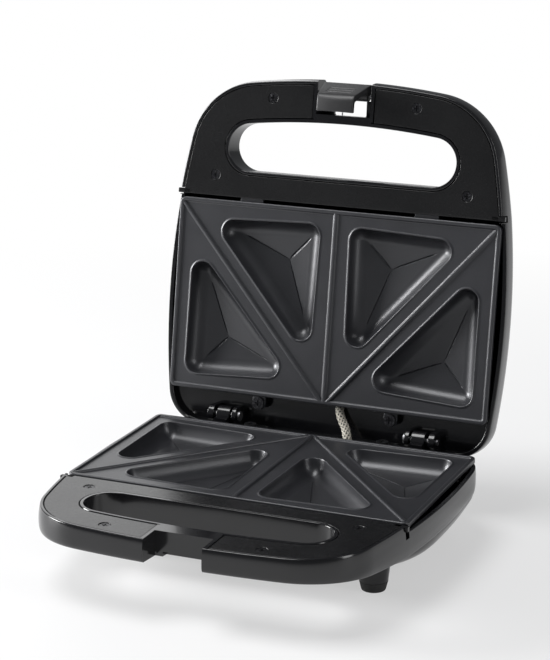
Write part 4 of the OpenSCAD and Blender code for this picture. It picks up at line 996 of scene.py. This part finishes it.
for mesh, name, slotName in ((coreMesh(), "leadCore", "rubber_foot"), (braidMesh(), "leadBraid", "braid")):
    piece = finishMesh(mesh, onBase, name, slotName, None, ["lead_sleeve"], 60)
    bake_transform(piece)
print("lead sleeve")


# The inner and fixed parts keep their exact shape and take a finish each
for part in frame["record"]["subparts"]:
    frame["nodes"][part["node"]].material_slots[0].material = finishes[part["material_slot"]]
print("exact parts finished")


# Setting: pale floor, soft boxes and the photo's camera
def floorFinish():
    f = Finish("paleFloor")
    f.put("Base Color", f.blend(f.noise(0.4, 2), (0.70, 0.70, 0.71), (0.73, 0.73, 0.73)))
    f.put("Roughness", 0.6 + f.noise(0.1, 2) * 0.1)
    glow = f.node("ShaderNodeEmission", {}, {"Color": (1.0, 1.0, 1.0), "Strength": 1.0})
    away = f.node("ShaderNodeVectorMath", {"operation": "LENGTH"}, {0: f.place()}, "Value")
    fade = f.ramp(away, (0.32, 0.0), (0.80, 1.0)) * 0.5 + 0.5
    seen, glossy, through = (f.node("ShaderNodeLightPath", output=ray)
                             for ray in ("Is Camera Ray", "Is Glossy Ray", "Is Transmission Ray"))
    shown = seen * fade + (glossy + through) * 0.3
    mixed = f.node("ShaderNodeMixShader", {}, {0: shown, 1: Wire(f, f.shader.outputs[0]), 2: glow})
    f.tree.links.new(mixed.socket, f.tree.nodes["Material Output"].inputs["Surface"])
    return f.material


floorMesh = bpy.data.meshes.new("floor")
floorMesh.from_pydata([(-9, -6, 0), (9, -6, 0), (9, 12, 0), (-9, 12, 0)], [], [[0, 1, 2, 3]])
floorMesh.materials.append(floorFinish())
floor = bpy.data.objects.new("floor", floorMesh)
scene.collection.objects.link(floor)

scene.world = bpy.data.worlds.new("studio")
scene.world.use_nodes = True
sky = scene.world.node_tree.nodes["Background"]
sky.inputs["Color"].default_value = (0.93, 0.96, 1.0, 1)
sky.inputs["Strength"].default_value = 0.16

lights = dict(top=dict(at=(-0.5, -0.3, 1.9), size=(1.1, 0.9), power=24),
              left=dict(at=(-1.8, -0.45, 0.6), size=(0.8, 0.9), power=65),
              back=dict(at=(-1.7, 2.0, 0.95), size=(1.7, 1.4), power=11),
              right=dict(at=(1.9, -0.3, 0.8), size=(0.5, 1.4), power=11))
for name, made in lights.items():
    lamp = bpy.data.lights.new(name, "AREA")
    lamp.shape, lamp.size, lamp.size_y, lamp.energy = "RECTANGLE", *made["size"], made["power"]
    holder = bpy.data.objects.new(name, lamp)
    holder.location = made["at"]
    holder.rotation_euler = (Vector((0, 0, 0.12)) - Vector(made["at"])).to_track_quat("-Z", "Y").to_euler()
    scene.collection.objects.link(holder)

camera = bpy.data.objects.new("camera", bpy.data.cameras.new("camera"))
camera.location = (0.493, -1.1493, 0.493)
camera.rotation_euler = (math.radians(90 - 15.91), 0, math.radians(23.14))
camera.data.sensor_width = 36
camera.data.lens = 2159 / 660 * 36
scene.collection.objects.link(camera)
scene.camera = camera
scene.view_settings.view_transform = "Standard"

bpy.context.view_layer.update()
print("setting made")
